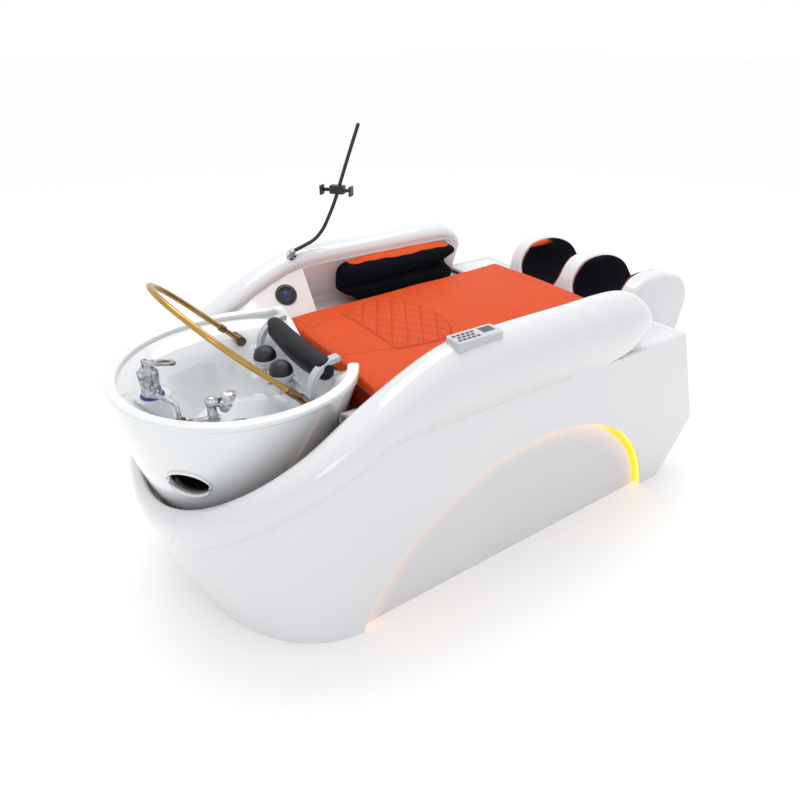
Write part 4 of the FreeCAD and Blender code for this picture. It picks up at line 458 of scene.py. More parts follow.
# A grid of points, rows along the piece and columns round it, becomes a closed skin:
# each ring joins its first point again, and each end closes on the middle of its ring
def closedSkin(name, grid, material, body, attributes=None):
    rows, columns = grid.shape[:2]
    points = np.concatenate([grid.reshape(-1, 3), grid[:1].mean(1), grid[-1:].mean(1)])
    row, column = np.meshgrid(np.arange(rows - 1), np.arange(columns), indexing="ij")
    after = (column + 1) % columns
    quads = np.stack([row * columns + column, row * columns + after,
                      (row + 1) * columns + after, (row + 1) * columns + column], -1).reshape(-1, 4)
    ring = np.arange(columns)
    following = np.roll(ring, -1)
    first, last = rows * columns, rows * columns + 1
    lower = np.stack([following, ring, np.full(columns, first)], -1)
    top = (rows - 1) * columns
    upper = np.stack([top + ring, top + following, np.full(columns, last)], -1)
    piece = buildMesh(name, points, [quads, lower, upper], material, body)
    for key, values in (attributes or {}).items():
        addMask(piece, key, np.concatenate([values.reshape(-1), [values[0].mean(), values[-1].mean()]]))
    return piece


def buildMesh(name, points, faceSets, material, body):
    mesh = bpy.data.meshes.new(name)
    mesh.from_pydata(points.tolist(), [], [face for faces in faceSets for face in faces.tolist()])
    work = bmesh.new()
    work.from_mesh(mesh)
    bmesh.ops.recalc_face_normals(work, faces=work.faces)
    work.to_mesh(mesh)
    work.free()
    mesh.polygons.foreach_set("use_smooth", np.ones(len(mesh.polygons), bool))
    mesh.materials.append(material)
    piece = addObject(name, mesh)
    if body:
        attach(piece, body)
    return piece


# A profile carried along a path: at each point the ring lies across the path's direction
def sweep(path, radius, columns, up=(0, 0, 1)):
    path = np.asarray(path, float)
    along = unit(np.gradient(path, axis=0))
    side = unit(np.cross(along, np.array(up, float)))
    lift = np.cross(side, along)
    angle = ringOf(columns)
    reach = np.asarray(radius, float)
    if reach.ndim == 0:
        reach = np.full((len(path), columns), float(reach))
    elif reach.ndim == 1:
        reach = np.repeat(reach[:, None], columns, 1)
    return (path[:, None] + reach[..., None] * (np.cos(angle)[None, :, None] * side[:, None]
                                               + np.sin(angle)[None, :, None] * lift[:, None]))


def smoothStep(low, high, value):
    share = np.clip((value - low) / (high - low), 0, 1)
    return share * share * (3 - 2 * share)


# Points along an open polyline, evenly spaced
def resample(points, count):
    points = np.asarray(points, float)
    steps = np.r_[0, np.cumsum(np.linalg.norm(np.diff(points, axis=0), axis=1))]
    spots = np.linspace(0, steps[-1], count)
    return np.stack([np.interp(spots, steps, points[:, k]) for k in range(points.shape[1])], -1)


hoseLook = {
    "route": [(-0.843, -0.050, 0.691), (-0.833, -0.070, 0.6897), (-0.812, -0.112, 0.687),
              (-0.812, -0.112, 0.655), (-0.812, -0.112, 0.628)],
    "diameter": 0.012, "rib": 0.0007, "turns": 46, "rows": 520, "columns": 20,
}


def hoseLine(look):
    curve = bpy.data.curves.new("hose_line", "CURVE")
    curve.dimensions = "3D"
    curve.resolution_u = 24
    spline = curve.splines.new("NURBS")
    spline.points.add(len(look["route"]) - 1)
    for point, place in zip(spline.points, look["route"]):
        point.co = (*place, 1)
    spline.order_u = 3
    spline.use_endpoint_u = True
    holder = addObject("hose_line", curve)
    bpy.context.view_layer.update()
    mesh = freshMesh(holder)
    line = np.array([v.co for v in mesh.vertices], float)
    bpy.data.objects.remove(holder)
    bpy.data.meshes.remove(mesh)
    return line


# Ribbed metal sleeve: radius swings with a sine that climbs in a helix round the line
def makeHose(look):
    line = resample(hoseLine(look), look["rows"])
    share = np.linspace(0, 1, len(line))
    wave = np.sin(2 * np.pi * look["turns"] * share[:, None] + ringOf(look["columns"])[None])
    radius = look["diameter"] / 2 - look["rib"] / 2 + look["rib"] / 2 * wave
    grid = sweep(line, radius, look["columns"], up=(1, 0, 0.2))
    hose = closedSkin("braided_hose", grid, chrome, "bed")
    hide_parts("shower_hose")


makeHose(hoseLook)
print("hose done")


mattressLook = {
    "head": -0.353, "foot": 0.566, "half": 0.288, "low": 0.6372,
    "headHeight": 0.024, "footHeight": 0.050, "crown": 0.010, "roll": 0.020, "bulge": 0.004,
    "quiltHead": -0.178, "quiltFoot": 0.056, "quiltHalf": 0.193, "quiltMiddle": 0.036,
    "edge": [(0, -0.80), (0, -0.86), (0.02, -0.87), (0.3, -0.97), (0.66, -1.02), (0.84, -0.92), (0.95, -0.68),
             (1.02, -0.36), (1.03, 0.0), (0.99, 0.42), (0.88, 0.84), (0.62, 1.04), (0.3, 0.96),
             (0.02, 0.84), (0, 0.83), (0, 0.78)],
    "fineHead": -0.186, "fineFoot": 0.066, "fineStep": 0.00165, "rollPower": 2.4, "sideShare": 0.42,
    "slope": 1.58, "pitch": 0.088, "puff": 0.0030, "groove": 0.0016, "line": 0.0010,
    "footSeam": 0.505, "seamSlope": 0.297, "ripple": 0.0016, "headRolls": (-0.338, -0.326),
}


# Signed distance inside the quilted field: its corners, as shares of length and half width,
# are rounded by cutting each corner twice, and the least distance to an edge counts
def quiltInside(x, y, look):
    corners = np.array(look["edge"], float)
    for turn in range(3):
        after = np.roll(corners, -1, axis=0)
        corners = np.stack([corners * 0.75 + after * 0.25, corners * 0.25 + after * 0.75], 1).reshape(-1, 2)
    corners = np.stack([look["quiltHead"] + corners[:, 0] * (look["quiltFoot"] - look["quiltHead"]),
                        look["quiltMiddle"] + corners[:, 1] * look["quiltHalf"]], -1)
    run = np.roll(corners, -1, axis=0) - corners
    run /= np.linalg.norm(run, axis=1, keepdims=True)
    inside = np.full(x.shape, 1.0)
    for (px, py), (ux, uy) in zip(corners, run):
        inside = np.minimum(inside, ux * (y - py) - uy * (x - px))
    return inside


# Distance to the nearest stitched line of the field, the straight seams and the foot hem
def seamDistances(x, y, look):
    inside = quiltInside(x, y, look)
    reach = math.hypot(1, look["slope"])
    first = (y - look["slope"] * x) / look["pitch"]
    second = (y + look["slope"] * x) / look["pitch"]
    toFirst = np.abs(first - np.round(first)) * look["pitch"] / reach
    toSecond = np.abs(second - np.round(second)) * look["pitch"] / reach
    crossed = np.where(inside > 0, np.minimum(toFirst, toSecond), 1.0)
    border = np.abs(inside)
    spread = look["quiltHalf"] * 0.80
    straight = np.abs(np.abs(y - look["quiltMiddle"]) - spread - (x - look["quiltHead"]) * look["seamSlope"])
    straight = np.where((x < look["quiltHead"]) & (x > look["headRolls"][1]), straight, 1.0)
    hem = np.abs(x - look["footSeam"])
    return inside, crossed, border, straight, hem


def lineMask(distance, width):
    return 1 - smoothStep(width * 0.4, width * 1.6, distance)


# Two height fields over one plan: the top is a crown that rolls down at every edge, the
# bottom is flat, and the side bulges between them. Rows run along X, columns round the section
def makeMattress(look):
    fine = np.arange(look["fineHead"], look["fineFoot"], look["fineStep"])
    xs = np.r_[np.linspace(look["head"], look["fineHead"], 84)[:-1], fine,
               np.linspace(look["fineFoot"], look["foot"], 104)]
    half, power = look["half"], look["rollPower"]
    flatHalf = half - look["bulge"]
    top = np.r_[np.linspace(-1, -0.90, 14)[:-1], np.linspace(-0.90, 0.90, 330), np.linspace(0.90, 1, 14)[1:]]
    share = (xs - look["head"]) / (look["foot"] - look["head"])
    endGap = np.minimum(xs - look["head"], look["foot"] - xs)
    rollWidth = look["roll"]
    endRound = np.sqrt(np.clip(1 - np.clip(1 - endGap / rollWidth, 0, 1) ** power, 0, 1))
    height = look["headHeight"] + (look["footHeight"] - look["headHeight"]) * share
    x, v = np.meshgrid(xs, top, indexing="ij")
    y = v * flatHalf
    edgeGap = flatHalf - np.abs(y)
    edgeRound = (1 - np.clip(1 - edgeGap / rollWidth, 0, 1) ** power) ** 0.5
    inside, crossed, border, straight, hem = seamDistances(x, y, look)
    relief = look["puff"] * smoothStep(0, 0.010, crossed) * smoothStep(-0.002, 0.008, inside)
    relief -= look["groove"] * lineMask(border, 0.004)
    relief -= look["groove"] * 0.7 * lineMask(straight, 0.004)
    relief -= look["groove"] * lineMask(hem, 0.005)
    for roll in look["headRolls"]:
        relief -= look["groove"] * 1.3 * lineMask(np.abs(x - roll), 0.0045)
    ripple = (np.sin(11 * x + 3 * y + 0.4) * np.sin(9 * y - 4 * x + 1.1) + 0.6 * np.sin(23 * x - 9 * y)
              * np.sin(17 * y + 6 * x + 2.0)) * look["ripple"]
    pulled = 0.0012 * np.sin(140 * (y - 0.4 * x)) * np.exp(-((x + 0.32) / 0.03) ** 2)
    body = height[:, None] * endRound[:, None] * (look["sideShare"] + (1 - look["sideShare"]) * edgeRound)
    crown = look["crown"] * (1 - v ** 2) * endRound[:, None]
    z = look["low"] + body + crown + (relief + ripple + pulled) * edgeRound * endRound[:, None]
    upper = np.stack([x, y, z], -1)
    # side and bottom: an arc out to the full half, then back in and across
    turn = np.linspace(0, 1, 9)[1:-1]
    flat = np.linspace(1, -1, 24)

    def strip(across, heights):
        return np.stack(np.broadcast_arrays(xs[:, None], across[None], heights), -1)

    bulged = flatHalf + look["bulge"] * np.sin(np.pi * turn)
    far = strip(bulged, z[:, -1:] + (look["low"] - z[:, -1:]) * turn[None])
    under = strip(flat * (flatHalf - 0.002), np.full((len(xs), len(flat)), look["low"]))
    near = strip(-bulged, look["low"] + (z[:, :1] - look["low"]) * turn[None])
    grid = np.concatenate([upper, far, under, near], 1)
    line = look["line"]
    seam = np.maximum.reduce([lineMask(crossed, line) * (inside > 0), lineMask(border, line * 1.3),
                              lineMask(straight, line * 1.3) * 0.8, lineMask(hem, line * 1.4) * 0.9])
    full = np.concatenate([seam, np.zeros((len(xs), len(turn) * 2 + len(flat)))], 1)
    piece = closedSkin("mattress_cover", grid, mattressLeather, "bed", {"seam": full})
    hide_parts("mattress")


makeMattress(mattressLook)
print("mattress done")


baseLook = {"head": -0.353, "foot": 0.560, "half": 0.283, "low": 0.6083, "top": 0.6367,
            "apronLow": 0.545, "apronFoot": -0.3403, "round": 0.005, "fold": 0.0022}


# A box whose section along Y is the side outline of layer and apron, with rounded corners
def makeLowerLayer(look):
    outline = np.array([(look["head"], look["apronLow"]), (look["apronFoot"], look["apronLow"]),
                        (look["apronFoot"], look["low"]), (look["foot"], look["low"]),
                        (look["foot"], look["top"]), (look["head"], look["top"])])
    dense = []
    for a, b in zip(outline, np.roll(outline, -1, axis=0)):
        run = np.linalg.norm(b - a)
        cutAway = min(look["round"], run * 0.3) / run
        dense.append(a + (b - a) * np.linspace(cutAway, 1 - cutAway, 14)[:, None])
    section = np.concatenate(dense)
    ys = np.r_[-1, -0.997, np.linspace(-0.99, 0.99, 130), 0.997, 1] * look["half"]
    y, x = np.meshgrid(ys, section[:, 0], indexing="ij")
    z = np.meshgrid(ys, section[:, 1], indexing="ij")[1]
    pinch = 1 - 0.3 * np.clip((np.abs(y) / look["half"] - 0.99) / 0.01, 0, 1) ** 2
    drop = np.clip((look["low"] - z) / 0.06, 0, 1)
    front = x < -0.349
    folds = 0.5 + 0.5 * np.sin(95 * y + 1.5 * np.sin(31 * y))
    x = np.where(front, x + look["fold"] * folds * (0.3 + 0.7 * drop) * pinch, x)
    z = np.where(z > 0.63, z - 0.001 * (1 - pinch), z)
    grid = np.stack([x, y, z], -1)
    seam = np.where(front, lineMask(np.abs(z - 0.628), 0.0012), 0.0)
    piece = closedSkin("mattress_lower_layer", grid, baseLeather, "bed", {"seam": seam})
    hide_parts("mattress_base")


makeLowerLayer(baseLook)
print("lower layer done")


# Blow a closed skin up as cloth: remeshed evenly, pressed out from inside with no gravity,
# each point held within the cap and the pinned ones in place, then refined once
def puffUp(name, grid, look, pinned):
    start = closedSkin(name + "_start", grid, blackKnit, None)
    remesh = start.modifiers.new("even", "REMESH")
    remesh.mode = "VOXEL"
    remesh.voxel_size = look["voxel"]
    mesh = freshMesh(start)
    bpy.data.objects.remove(start)
    mesh.name = name
    piece = addObject(name, mesh)
    rest = pointsOf(mesh)
    held = piece.vertex_groups.new(name="held")
    held.add(np.nonzero(pinned(rest))[0].tolist(), 1.0, "REPLACE")
    cloth = piece.modifiers.new("cloth", "CLOTH")
    cloth.settings.use_pressure = True
    cloth.settings.uniform_pressure_force = look["pressure"]
    cloth.settings.effector_weights.gravity = 0
    cloth.settings.vertex_group_mass = "held"
    cloth.settings.tension_stiffness = look["stiffness"]
    cloth.settings.compression_stiffness = look["stiffness"]
    cloth.settings.shear_stiffness = look["stiffness"] / 2
    cloth.settings.bending_stiffness = look["bending"]
    cloth.point_cache.frame_start, cloth.point_cache.frame_end = 1, look["frames"]
    for frameNumber in range(1, look["frames"] + 1):
        scene.frame_set(frameNumber)
    move = pointsOf(piece.evaluated_get(bpy.context.evaluated_depsgraph_get()).data) - rest
    reach = np.linalg.norm(move, axis=1, keepdims=True)
    rest = rest + move * np.minimum(1, look["cap"] / np.maximum(reach, 1e-9))
    piece.modifiers.clear()
    piece.vertex_groups.clear()
    scene.frame_set(1)
    mesh.vertices.foreach_set("co", rest.astype(np.float32).reshape(-1))
    refine = piece.modifiers.new("refine", "SUBSURF")
    refine.levels = refine.render_levels = 1
    full = freshMesh(piece)
    bpy.data.objects.remove(piece)
    full.name = name
    full.polygons.foreach_set("use_smooth", np.ones(len(full.polygons), bool))
    return addObject(name, full)


def dress(piece, material):
    piece.data.materials.clear()
    piece.data.materials.append(material)
    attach(piece, "bed")
    return piece


cushionLook = {
    "start": -0.081, "end": 0.427, "low": 0.6105, "top": 0.778, "inner": 0.324, "outerLow": 0.460,
    "outerTop": 0.438, "crease": 0.700, "nipHead": 0.014, "nipFoot": 0.055, "wrinkle": 0.0022,
    "lowerShort": 0.020, "cornerCut": 0.055, "voxel": 0.0050, "pressure": 5.0, "stiffness": 12.0,
    "bending": 0.4, "frames": 18, "cap": 0.007, "trimLevel": 0.7700, "cornerTrim": 0.012,
}


# One section: distance from a middle point at each angle, a two-lobed rounded box whose crease
# opens towards the foot. Along X the section shrinks to the ends like a superellipse, the lower
# lobe ends sooner at the foot, and the lower corner is cut away at the head
def cushionGrid(side, look):
    us = np.linspace(-1, 1, 150)
    us = np.sin(us * np.pi / 2) * 0.55 + us * 0.45
    u, a = np.meshgrid(us, ringOf(180), indexing="ij")
    swell = (1 - np.abs(u) ** 5.0) ** (1 / 3.0)
    middleZ = (look["low"] + look["top"]) / 2
    tall = (look["top"] - look["low"]) / 2
    c, s = np.cos(a), np.sin(a)
    lift, out = bend(s, 0.72), bend(c, 0.62)
    z = middleZ + tall * lift * (0.34 + 0.66 * swell)
    lean = (z - look["low"]) / (look["top"] - look["low"])
    outer = look["outerLow"] + (look["outerTop"] - look["outerLow"]) * lean
    middleY = (look["inner"] + outer) / 2
    reach = (outer - look["inner"]) / 2
    y = middleY + reach * out * (0.30 + 0.70 * swell)
    y += reach * 0.50 * (1 - swell) * np.clip(1 - np.abs(u), 0, 1)
    facing = np.clip(-c, 0, 1)
    open_ = smoothStep(-0.35, 1.0, u)
    width = 0.010 + 0.012 * smoothStep(0.3, 1.0, u)
    groove = np.exp(-((z - look["crease"] - 0.008 * u) / width) ** 2)
    nip = look["nipHead"] + (look["nipFoot"] - look["nipHead"]) * open_
    y += nip * groove * np.sqrt(facing) * (0.3 + 0.7 * swell)
    puckers = np.sin(23 * u + 2 * np.sin(2 * a)) * np.sin(2 * a + 1.3) + 0.6 * np.sin(11 * u + 3 * a)
    y += look["wrinkle"] * puckers * facing * swell * (0.35 + groove)
    z += look["wrinkle"] * 0.6 * puckers * np.abs(s) * swell
    x = look["start"] + (look["end"] - look["start"]) * (u + 1) / 2
    below = smoothStep(look["crease"] + 0.012, look["crease"] - 0.012, z)
    x -= look["lowerShort"] * below * smoothStep(0.55, 1.0, u)
    x -= 0.9 * look["nipFoot"] * groove * smoothStep(0.7, 1.0, u)
    x += look["cornerCut"] * smoothStep(0.675, 0.612, z) * smoothStep(-0.55, -1.0, u)
    z = np.clip(z, look["low"], look["top"] + 0.003)
    return np.stack([x, side * y, z], -1)


def makeCushion(side, look):
    def held(points):
        across = np.abs(points[:, 1])
        nip = np.abs(points[:, 2] - look["crease"]) < 0.006
        seated = (across > 0.425) | (points[:, 2] < look["low"] + 0.004)
        return seated | (nip & (across > look["inner"] + 0.012))

    name = "arm_cushion_near" if side < 0 else "arm_cushion_far"
    piece = dress(puffUp(name, cushionGrid(side, look), look, held), blackKnit)
    points = pointsOf(piece.data)
    x, across, z = points[:, 0], np.abs(points[:, 1]), points[:, 2]
    edge = look["trimLevel"] + 0.0016 * np.sin(29 * x) + 0.0010 * np.sin(83 * x)
    top = smoothStep(-0.0008, 0.0008, z - edge) * (x > look["start"] + 0.022)
    cut = look["start"] + look["cornerCut"] * smoothStep(0.675, 0.612, z) + look["cornerTrim"]
    corner = smoothStep(0.0015, 0.0, x - cut) * (z < 0.660)
    addMask(piece, "trim", np.maximum(top, corner))
    return piece


cushions = [makeCushion(side, cushionLook) for side in (-1, 1)]
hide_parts("arm_cushions")
print("arm cushions done")

pillowLook = {"half": 0.184, "place": -0.430, "depth": 0.0290, "height": 0.0375, "level": 0.6960,
              "sag": 0.010, "belly": 0.014, "voxel": 0.005, "pressure": 4.0, "stiffness": 14.0,
              "bending": 0.5, "frames": 16, "cap": 0.006}


# A thick roll along Y, sections like a rounded triangle standing on its blunt side, fuller below
# the middle, sagging between its arms, its ends flat with a rounded edge
def makePillow(look):
    us = np.sin(np.linspace(-1, 1, 150) * np.pi / 2)
    u, a = np.meshgrid(us, ringOf(96), indexing="ij")
    swell = (1 - np.abs(u) ** 22) ** (1 / 2.2)
    middle = np.cos(u * np.pi / 2) ** 1.2
    c, s = np.cos(a), np.sin(a)
    out, lift = bend(c, 0.85), bend(s, 0.85)
    x = look["place"] + look["depth"] * out * (0.86 + 0.14 * middle) * swell
    z = look["level"] + look["height"] * lift * (0.88 + 0.12 * middle) * swell - look["sag"] * middle
    z -= look["belly"] * middle * np.clip(-s, 0, 1)
    x += 0.006 * middle * np.clip(-s, 0, 1)
    z += 0.0008 * np.sin(9 * u + 2 * a) * middle
    grid = np.stack([x, look["half"] * u, z], -1)

    def held(points):
        return np.abs(points[:, 1]) > 0.150

    piece = dress(puffUp("neck_cushion", grid, look, held), pillowSkin)
    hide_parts("neck_pillow")


makePillow(pillowLook)
print("neck pillow done")

# The leg unit's side profile as points (x, z), and a channel's section across it
legLook = {
    "profile": [(0.648, 0.631), (0.6598, 0.6898), (0.695, 0.7425), (0.735, 0.759), (0.775, 0.7635),
                (0.830, 0.761), (0.880, 0.7454), (0.944, 0.7132), (0.9756, 0.6692), (0.984, 0.6106)],
    "centre": 0.1345, "radius": 0.1035, "floor": 0.600, "inset": 0.003, "thick": 0.0125,
    "rim": 0.757, "pipe": 0.0017, "gap": 0.0004,
}


# The channel's front and back ends at a height, on the profile with its corners cut three times
def legReach(height, look):
    profile = np.array(look["profile"])
    for turn in range(3):
        first, second = profile[:-1] * 0.75 + profile[1:] * 0.25, profile[:-1] * 0.25 + profile[1:] * 0.75
        middle = np.stack([first, second], 1).reshape(-1, 2)
        profile = np.concatenate([profile[:1], middle, profile[-1:]])
    crown = int(np.argmax(profile[:, 1]))
    front = np.interp(height, profile[:crown + 1, 1], profile[:crown + 1, 0])
    back = np.interp(-height, -profile[crown:, 1], profile[crown:, 0])
    return front + look["inset"], back - look["inset"]


# A U-shaped pad that lines a channel: rows follow the U from rim to rim, and each row's ring is
# a flat oval between the leg unit's front and back at that height, thicker in its middle
def makeLegPad(side, look):
    radius = look["radius"] - look["gap"]
    straight = look["rim"] - (look["floor"] + look["radius"])
    quarter = radius * np.pi / 2
    full = quarter + straight
    spots = np.sin(np.linspace(-1, 1, 132) * np.pi / 2) * 0.25 + np.linspace(-1, 1, 132) * 0.75
    spots = spots * full
    turn = np.clip(spots / radius, -np.pi / 2, np.pi / 2)
    extra = np.clip(np.abs(spots) - quarter, 0, None)
    outY = np.sin(turn) * radius
    outZ = look["floor"] + look["radius"] - np.cos(turn) * radius + extra
    inY = np.where(extra > 0, -np.sign(spots), -np.sin(turn))
    inZ = np.where(extra > 0, 0, np.cos(turn))
    front, back = legReach(outZ + 0.002, look)
    ring = ringOf(120)
    c, s = np.cos(ring), np.sin(ring)
    flat = bend(c, 0.35)
    end = np.clip((full - np.abs(spots)) / 0.012, 0, 1)
    round_ = np.sqrt(1 - (1 - end) ** 2)
    middle, half = (front + back) / 2, (back - front) / 2
    x = middle[:, None] + half[:, None] * flat[None] * (0.55 + 0.45 * round_[:, None])
    puff = look["thick"] * (0.92 + 0.20 * np.clip(s, 0, 1))[None] * np.ones_like(x)
    wave = 0.0008 * np.sin(38 * x + 5 * spots[:, None] * 10) * np.clip(s, 0, 1)[None]
    lift = 0.0005 + (puff / 2) * (1 + bend(s, 0.5))[None] * (0.12 + 0.88 * round_[:, None]) + wave
    y = look["centre"] + outY[:, None] + inY[:, None] * lift
    z = outZ[:, None] + inZ[:, None] * lift
    grid = np.stack([x, side * y, z], -1)
    word = "near" if side < 0 else "far"
    trim = np.zeros(x.shape)
    if side > 0:
        trim = smoothStep(0.7405, 0.7425, z) * (y > look["centre"])
        trim = trim * smoothStep(0.70, 0.705, x) * smoothStep(0.80, 0.78, x)
    piece = closedSkin("leg_pad_" + word, grid, blackKnit, "bed", {"trim": trim})
    # piping along the pad's front edge, from rim to rim
    keep = np.abs(spots) < full - 0.006
    path = np.stack([front[keep] + 0.0016, side * (look["centre"] + outY[keep] + inY[keep] * 0.004),
                     outZ[keep] + inZ[keep] * 0.004], -1)
    tube = sweep(path, look["pipe"], 10, up=(1, 0, 0.01))
    closedSkin("leg_piping_" + word, tube, piping, "bed")
    return piece


legPads = [makeLegPad(side, legLook) for side in (-1, 1)]
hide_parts("leg_liners")
print("leg pads done")


# A ring of sections closed both ways
def loopSkin(name, grid, material, body):
    rows, columns = grid.shape[:2]
    row, column = np.meshgrid(np.arange(rows), np.arange(columns), indexing="ij")
    after, below = (column + 1) % columns, (row + 1) % rows
    quads = np.stack([row * columns + column, row * columns + after,
                      below * columns + after, below * columns + column], -1).reshape(-1, 4)
    return buildMesh(name, grid.reshape(-1, 3), [quads], material, body)


rimLook = {"centre": -0.610, "head": 0.324, "foot": 0.239, "half": 0.327, "flat": 0.190,
           "level": 0.699, "horn": 0.722, "recessHalf": 0.212, "recessLevel": 0.620,
           "halfWidth": 0.0158, "halfHeight": 0.0100, "lift": -0.0028, "smooth": 0.010,
           "tip": 0.0065, "tipWidth": 0.022, "square": 0.62, "footReach": 0.013, "rise": 0.9725,
           "risePower": 3.2, "points": 900}


# The basin's rounded lip: a superellipse carried round the rim's middle line, which is half an
# oval at the head, two quarter ovals and a straight at the foot, and drops into the neck recess
def makeRim(look):
    turn = np.linspace(np.pi / 2, 3 * np.pi / 2, 260)
    head = np.stack([look["centre"] + look["head"] * np.cos(turn), look["half"] * np.sin(turn)], -1)
    corner = np.linspace(-np.pi / 2, 0, 120)
    reach = look["half"] - look["flat"]
    near = np.stack([look["centre"] + look["foot"] * np.cos(corner),
                     -look["flat"] + reach * np.sin(corner)], -1)
    far = near[::-1] * (1, -1)
    plan = np.concatenate([head, near[1:], far[:-1]])
    plan = resample(np.concatenate([plan, plan[:1]]), look["points"] + 1)[:-1]
    x, y = plan[:, 0], plan[:, 1]
    foot = look["centre"] + look["foot"] + look["footReach"]
    along = np.clip((x - look["centre"]) / (foot - look["centre"]), 0, 1)
    level = look["level"] + (look["horn"] - look["level"]) * (
        (1 - look["rise"]) * along + look["rise"] * along ** look["risePower"])
    sag = look["level"] - look["recessLevel"]
    curve = (look["recessHalf"] ** 2 + sag ** 2) / (2 * sag)
    dip = look["recessLevel"] + curve - np.sqrt(np.clip(curve ** 2 - y ** 2, 0, None))
    height = np.where((x > look["centre"]) & (np.abs(y) < curve * 0.95), np.minimum(level, dip), level)
    step = np.linalg.norm(plan[1] - plan[0])
    width = max(3, int(look["smooth"] / step) * 2 + 1)
    kernel = np.hanning(width + 2)[1:-1]
    kernel /= kernel.sum()
    wrapped = np.concatenate([height[-width:], height, height[:width]])
    height = np.convolve(wrapped, kernel, "same")[width:-width]
    # a rounded tip over each horn, where the neck recess begins
    horn = np.argmax(np.where(y > 0, height, 0)), np.argmax(np.where(y < 0, height, 0))
    for spot in horn:
        away = np.linalg.norm(plan - plan[spot], axis=1)
        height = height + look["tip"] * np.exp(-(away / look["tipWidth"]) ** 2)
    path = np.stack([x, y, height], -1)
    ahead = unit(np.roll(path, -1, axis=0) - np.roll(path, 1, axis=0))
    side = unit(np.cross(ahead, (0, 0, 1.0)))
    up = np.cross(side, ahead)
    angle = ringOf(28)
    across = look["halfWidth"] * bend(np.cos(angle), look["square"])
    lift = look["halfHeight"] * bend(np.sin(angle), look["square"]) + look["lift"]
    grid = path[:, None] + across[None, :, None] * side[:, None] + lift[None, :, None] * up[:, None]
    loopSkin("basin_rim", grid, glaze, "bed")


makeRim(rimLook)

ovalLook = {"centre": (-0.632, 0.0, 0.520), "turns": (45, 135, 225, 315), "long": 0.054, "short": 0.040,
            "thick": 0.003, "bead": 0.0062, "ringShare": 1.05, "sink": 0.0022,
            # each dark plate's half width, half height and set-back, the plates being painted shade in the
            # openings: smaller at the foot, where the bowl is near
            "plates": ((0.058, 0.042, 0.009), (0.060, 0.066, 0.012),
                       (0.060, 0.066, 0.012), (0.058, 0.042, 0.009))}


# A rounded bead round an opening: its middle line is found on the skirt by looking inward at
# points of a slightly larger ellipse
def beadRound(outward, across, normal, look):
    ring = []
    for turn in ringOf(72):
        start = (np.array(look["centre"]) + outward * 0.6
                 + across * math.cos(turn) * look["long"] * look["ringShare"]
                 + np.array((0, 0, 1.0)) * math.sin(turn) * look["short"] * look["ringShare"])
        hit, place = nodes["basin"].ray_cast(Vector(start), Vector(-outward))[:2]
        if hit:
            ring.append(place)
    ring = np.array(ring)
    ahead = unit(np.roll(ring, -1, axis=0) - np.roll(ring, 1, axis=0))
    side = unit(np.cross(ahead, normal))[:, None]
    angle = ringOf(14)[None, :, None]
    return (ring[:, None] - look["sink"] * normal
            + look["bead"] * (np.cos(angle) * side + np.sin(angle) * normal))


# A round lens: rings of the given reaches along two directions, lifted along the third
def lensGrid(centre, reaches, depths, sideways, upward, normal, count):
    angle = ringOf(count)[None, :, None]
    return (centre + reaches[:, None, None] * (np.cos(angle) * sideways + np.sin(angle) * upward)
            + depths[:, None, None] * normal)


# Dark plates behind the basin's oval openings, painted shade standing in for the dark inside of each opening:
# flat ellipse lenses across each opening's axis, set back from the skirt by its wall
def makeOvalShadePlates(look):
    basin = pointsOf(nodes["basin"].data)
    for number, degrees in enumerate(look["turns"]):
        outward = np.array([math.cos(math.radians(degrees)), math.sin(math.radians(degrees)), 0])
        across = np.array([-outward[1], outward[0], 0])
        offset = basin - np.array(look["centre"])
        beside, above, out = offset @ across, offset[:, 2], offset @ outward
        edge = (np.abs(np.hypot(beside / look["long"], above / look["short"]) - 1) < 0.16) & (out > 0.15)
        wall = basin[edge]
        middle = wall.mean(0)
        normal = np.linalg.svd(wall - middle, full_matrices=False)[2][2]
        normal *= np.sign(normal @ outward)
        sideways = unit(np.cross((0, 0, 1.0), normal))
        upward = np.cross(normal, sideways)
        rings = np.array([0.02, 0.5, 0.9, 1.0, 0.9, 0.5, 0.02])
        depth = np.array([1, 1, 0.8, 0, -0.8, -1, -1]) * look["thick"] / 2
        wide, tall, back = look["plates"][number]
        grid = lensGrid(middle - normal * back, rings, depth,
                        wide * sideways, tall * upward, normal, 48)
        closedSkin("oval_shade_plate_%d" % (number + 1), grid, paintedShadeBlack, "bed")
        rolled = beadRound(outward, across, normal, look)
        loopSkin("oval_edge_%d" % (number + 1), rolled, glaze, "bed")


makeOvalShadePlates(ovalLook)

speakerLook = {"radius": 0.0105, "height": 0.0022, "levelShare": 0.6}


# A small blue-lit dome in the middle of each speaker, turned about the speaker's own axis
def makeSpeakerDome(side, look):
    points = pointsOf(nodes["speakers"].data)
    points = points[points[:, 1] * side > 0]
    middle = (points.max(0) + points.min(0)) / 2
    normal = np.linalg.svd(points - points.mean(0), full_matrices=False)[2][2]
    normal *= -np.sign(normal[1]) * side
    reach = (points - middle) @ normal
    level = np.sort(reach)[int(len(reach) * look["levelShare"])]
    sideways = unit(np.cross(normal, (0, 0, 1.0)))
    upward = np.cross(sideways, normal)
    turn = np.linspace(0, 1, 12)
    radius = look["radius"] * np.sin(turn * np.pi)
    lift = look["height"] * -np.cos(turn * np.pi)
    radius[[0, -1]] = look["radius"] * 0.02
    grid = lensGrid(middle, radius, level + lift, sideways, upward, normal, 36)
    closedSkin("speaker_dome_" + ("near" if side < 0 else "far"), grid, speakerBlue, "bed")


for side in (-1, 1):
    makeSpeakerDome(side, speakerLook)

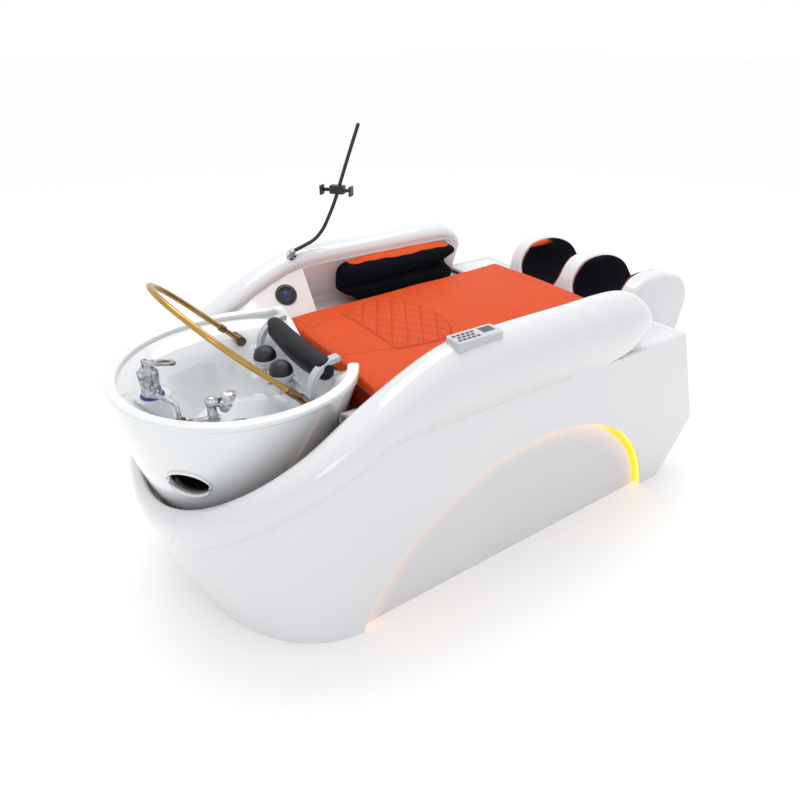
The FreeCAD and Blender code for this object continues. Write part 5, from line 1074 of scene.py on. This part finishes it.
edgeLook = {"start": 0.400, "end": 0.705, "side": 0.479, "stop": 0.3065, "level": 0.6262, "radius": 0.0090,
            "turn": 0.004, "bevel": 0.0012, "sill": (0.4985, 0.297, 0.478, 0.6235), "sillRadius": 0.0065}


# A rounded moulding along the top edge of the foot end, from the rail round the corner to the
# leg unit, on each side
def makeFootEdges(look):
    for side in (-1, 1):
        end, across, turn, bevel = look["end"], look["side"], look["turn"], look["bevel"]
        path = resample([(look["start"], across), (end - turn, across), (end - bevel, across - bevel),
                         (end, across - turn), (end, look["stop"])], 140)
        path = np.stack([path[:, 0], side * path[:, 1], np.full(len(path), look["level"])], -1)
        word = "near" if side < 0 else "far"
        closedSkin("foot_edge_" + word, sweep(path, look["radius"], 20), gelcoat, "bed")
        x, inner, outer, z = look["sill"]
        sill = np.linspace((x, side * inner, z), (x, side * outer, z), 24)
        closedSkin("deck_sill_" + word, sweep(sill, look["sillRadius"], 16), gelcoat, "bed")


makeFootEdges(edgeLook)

zipLook = {"x": -0.3545, "z": 0.6365, "half": 0.281, "radius": 0.0021, "tooth": 0.12, "teeth": 900,
           "flat": 0.35}


# The zip under the mattress's head edge: a thin cord pressed flat
def makeZip(look):
    y = np.linspace(-look["half"], look["half"], 160)
    path = np.stack([np.full_like(y, look["x"]), y, np.full_like(y, look["z"])], -1)
    teeth = 1 + look["tooth"] * np.sin(look["teeth"] * y)
    radius = look["radius"] * teeth[:, None] * (1 + look["flat"] * np.abs(np.cos(ringOf(12))))[None]
    closedSkin("mattress_zip", sweep(path, radius, 12), zipBlack, "bed")


makeZip(zipLook)
print("trim done")

studioLook = {
    "sky": (1.0, 1.0, 1.0), "skyStrength": 1.0, "floor": (0.985, 0.985, 0.985), "floorHalf": 45, "matt": 0.9,
    # place, aim, size and power
    "overhead": ((0.2, 0.5, 3.2), (0, 0, 0.5), (3.0, 1.6), 40),
    "front": ((-2.4, -3.0, 2.2), (-0.1, 0, 0.5), (0.9, 1.4), 9),
}


def areaLamp(name, place, aim, size, power):
    data = bpy.data.lights.new(name, "AREA")
    data.shape = "RECTANGLE"
    data.size, data.size_y = size
    data.energy = power
    lamp = addObject(name, data)
    lamp.location = place
    lamp.rotation_mode = "QUATERNION"
    lamp.rotation_quaternion = (Vector(aim) - Vector(place)).to_track_quat("-Z", "Y")


def makeStudio(look):
    world = bpy.data.worlds.new("studio")
    world.use_nodes = True
    back = world.node_tree.nodes["Background"]
    back.inputs["Color"].default_value = (*look["sky"], 1)
    back.inputs["Strength"].default_value = look["skyStrength"]
    scene.world = world
    mesh = bpy.data.meshes.new("studio_floor")
    half = look["floorHalf"]
    corners = [(-half, -half, 0), (half, -half, 0), (half, half, 0), (-half, half, 0)]
    mesh.from_pydata(corners, [], [(0, 1, 2, 3)])
    floor = addObject("studio_floor", mesh)
    material = newMaterial("studio_floor", look["floor"], Roughness=look["matt"])[0]
    mesh.materials.append(material)
    scene.view_settings.view_transform = "Standard"
    areaLamp("overhead", *look["overhead"])
    areaLamp("front", *look["front"])


makeStudio(studioLook)
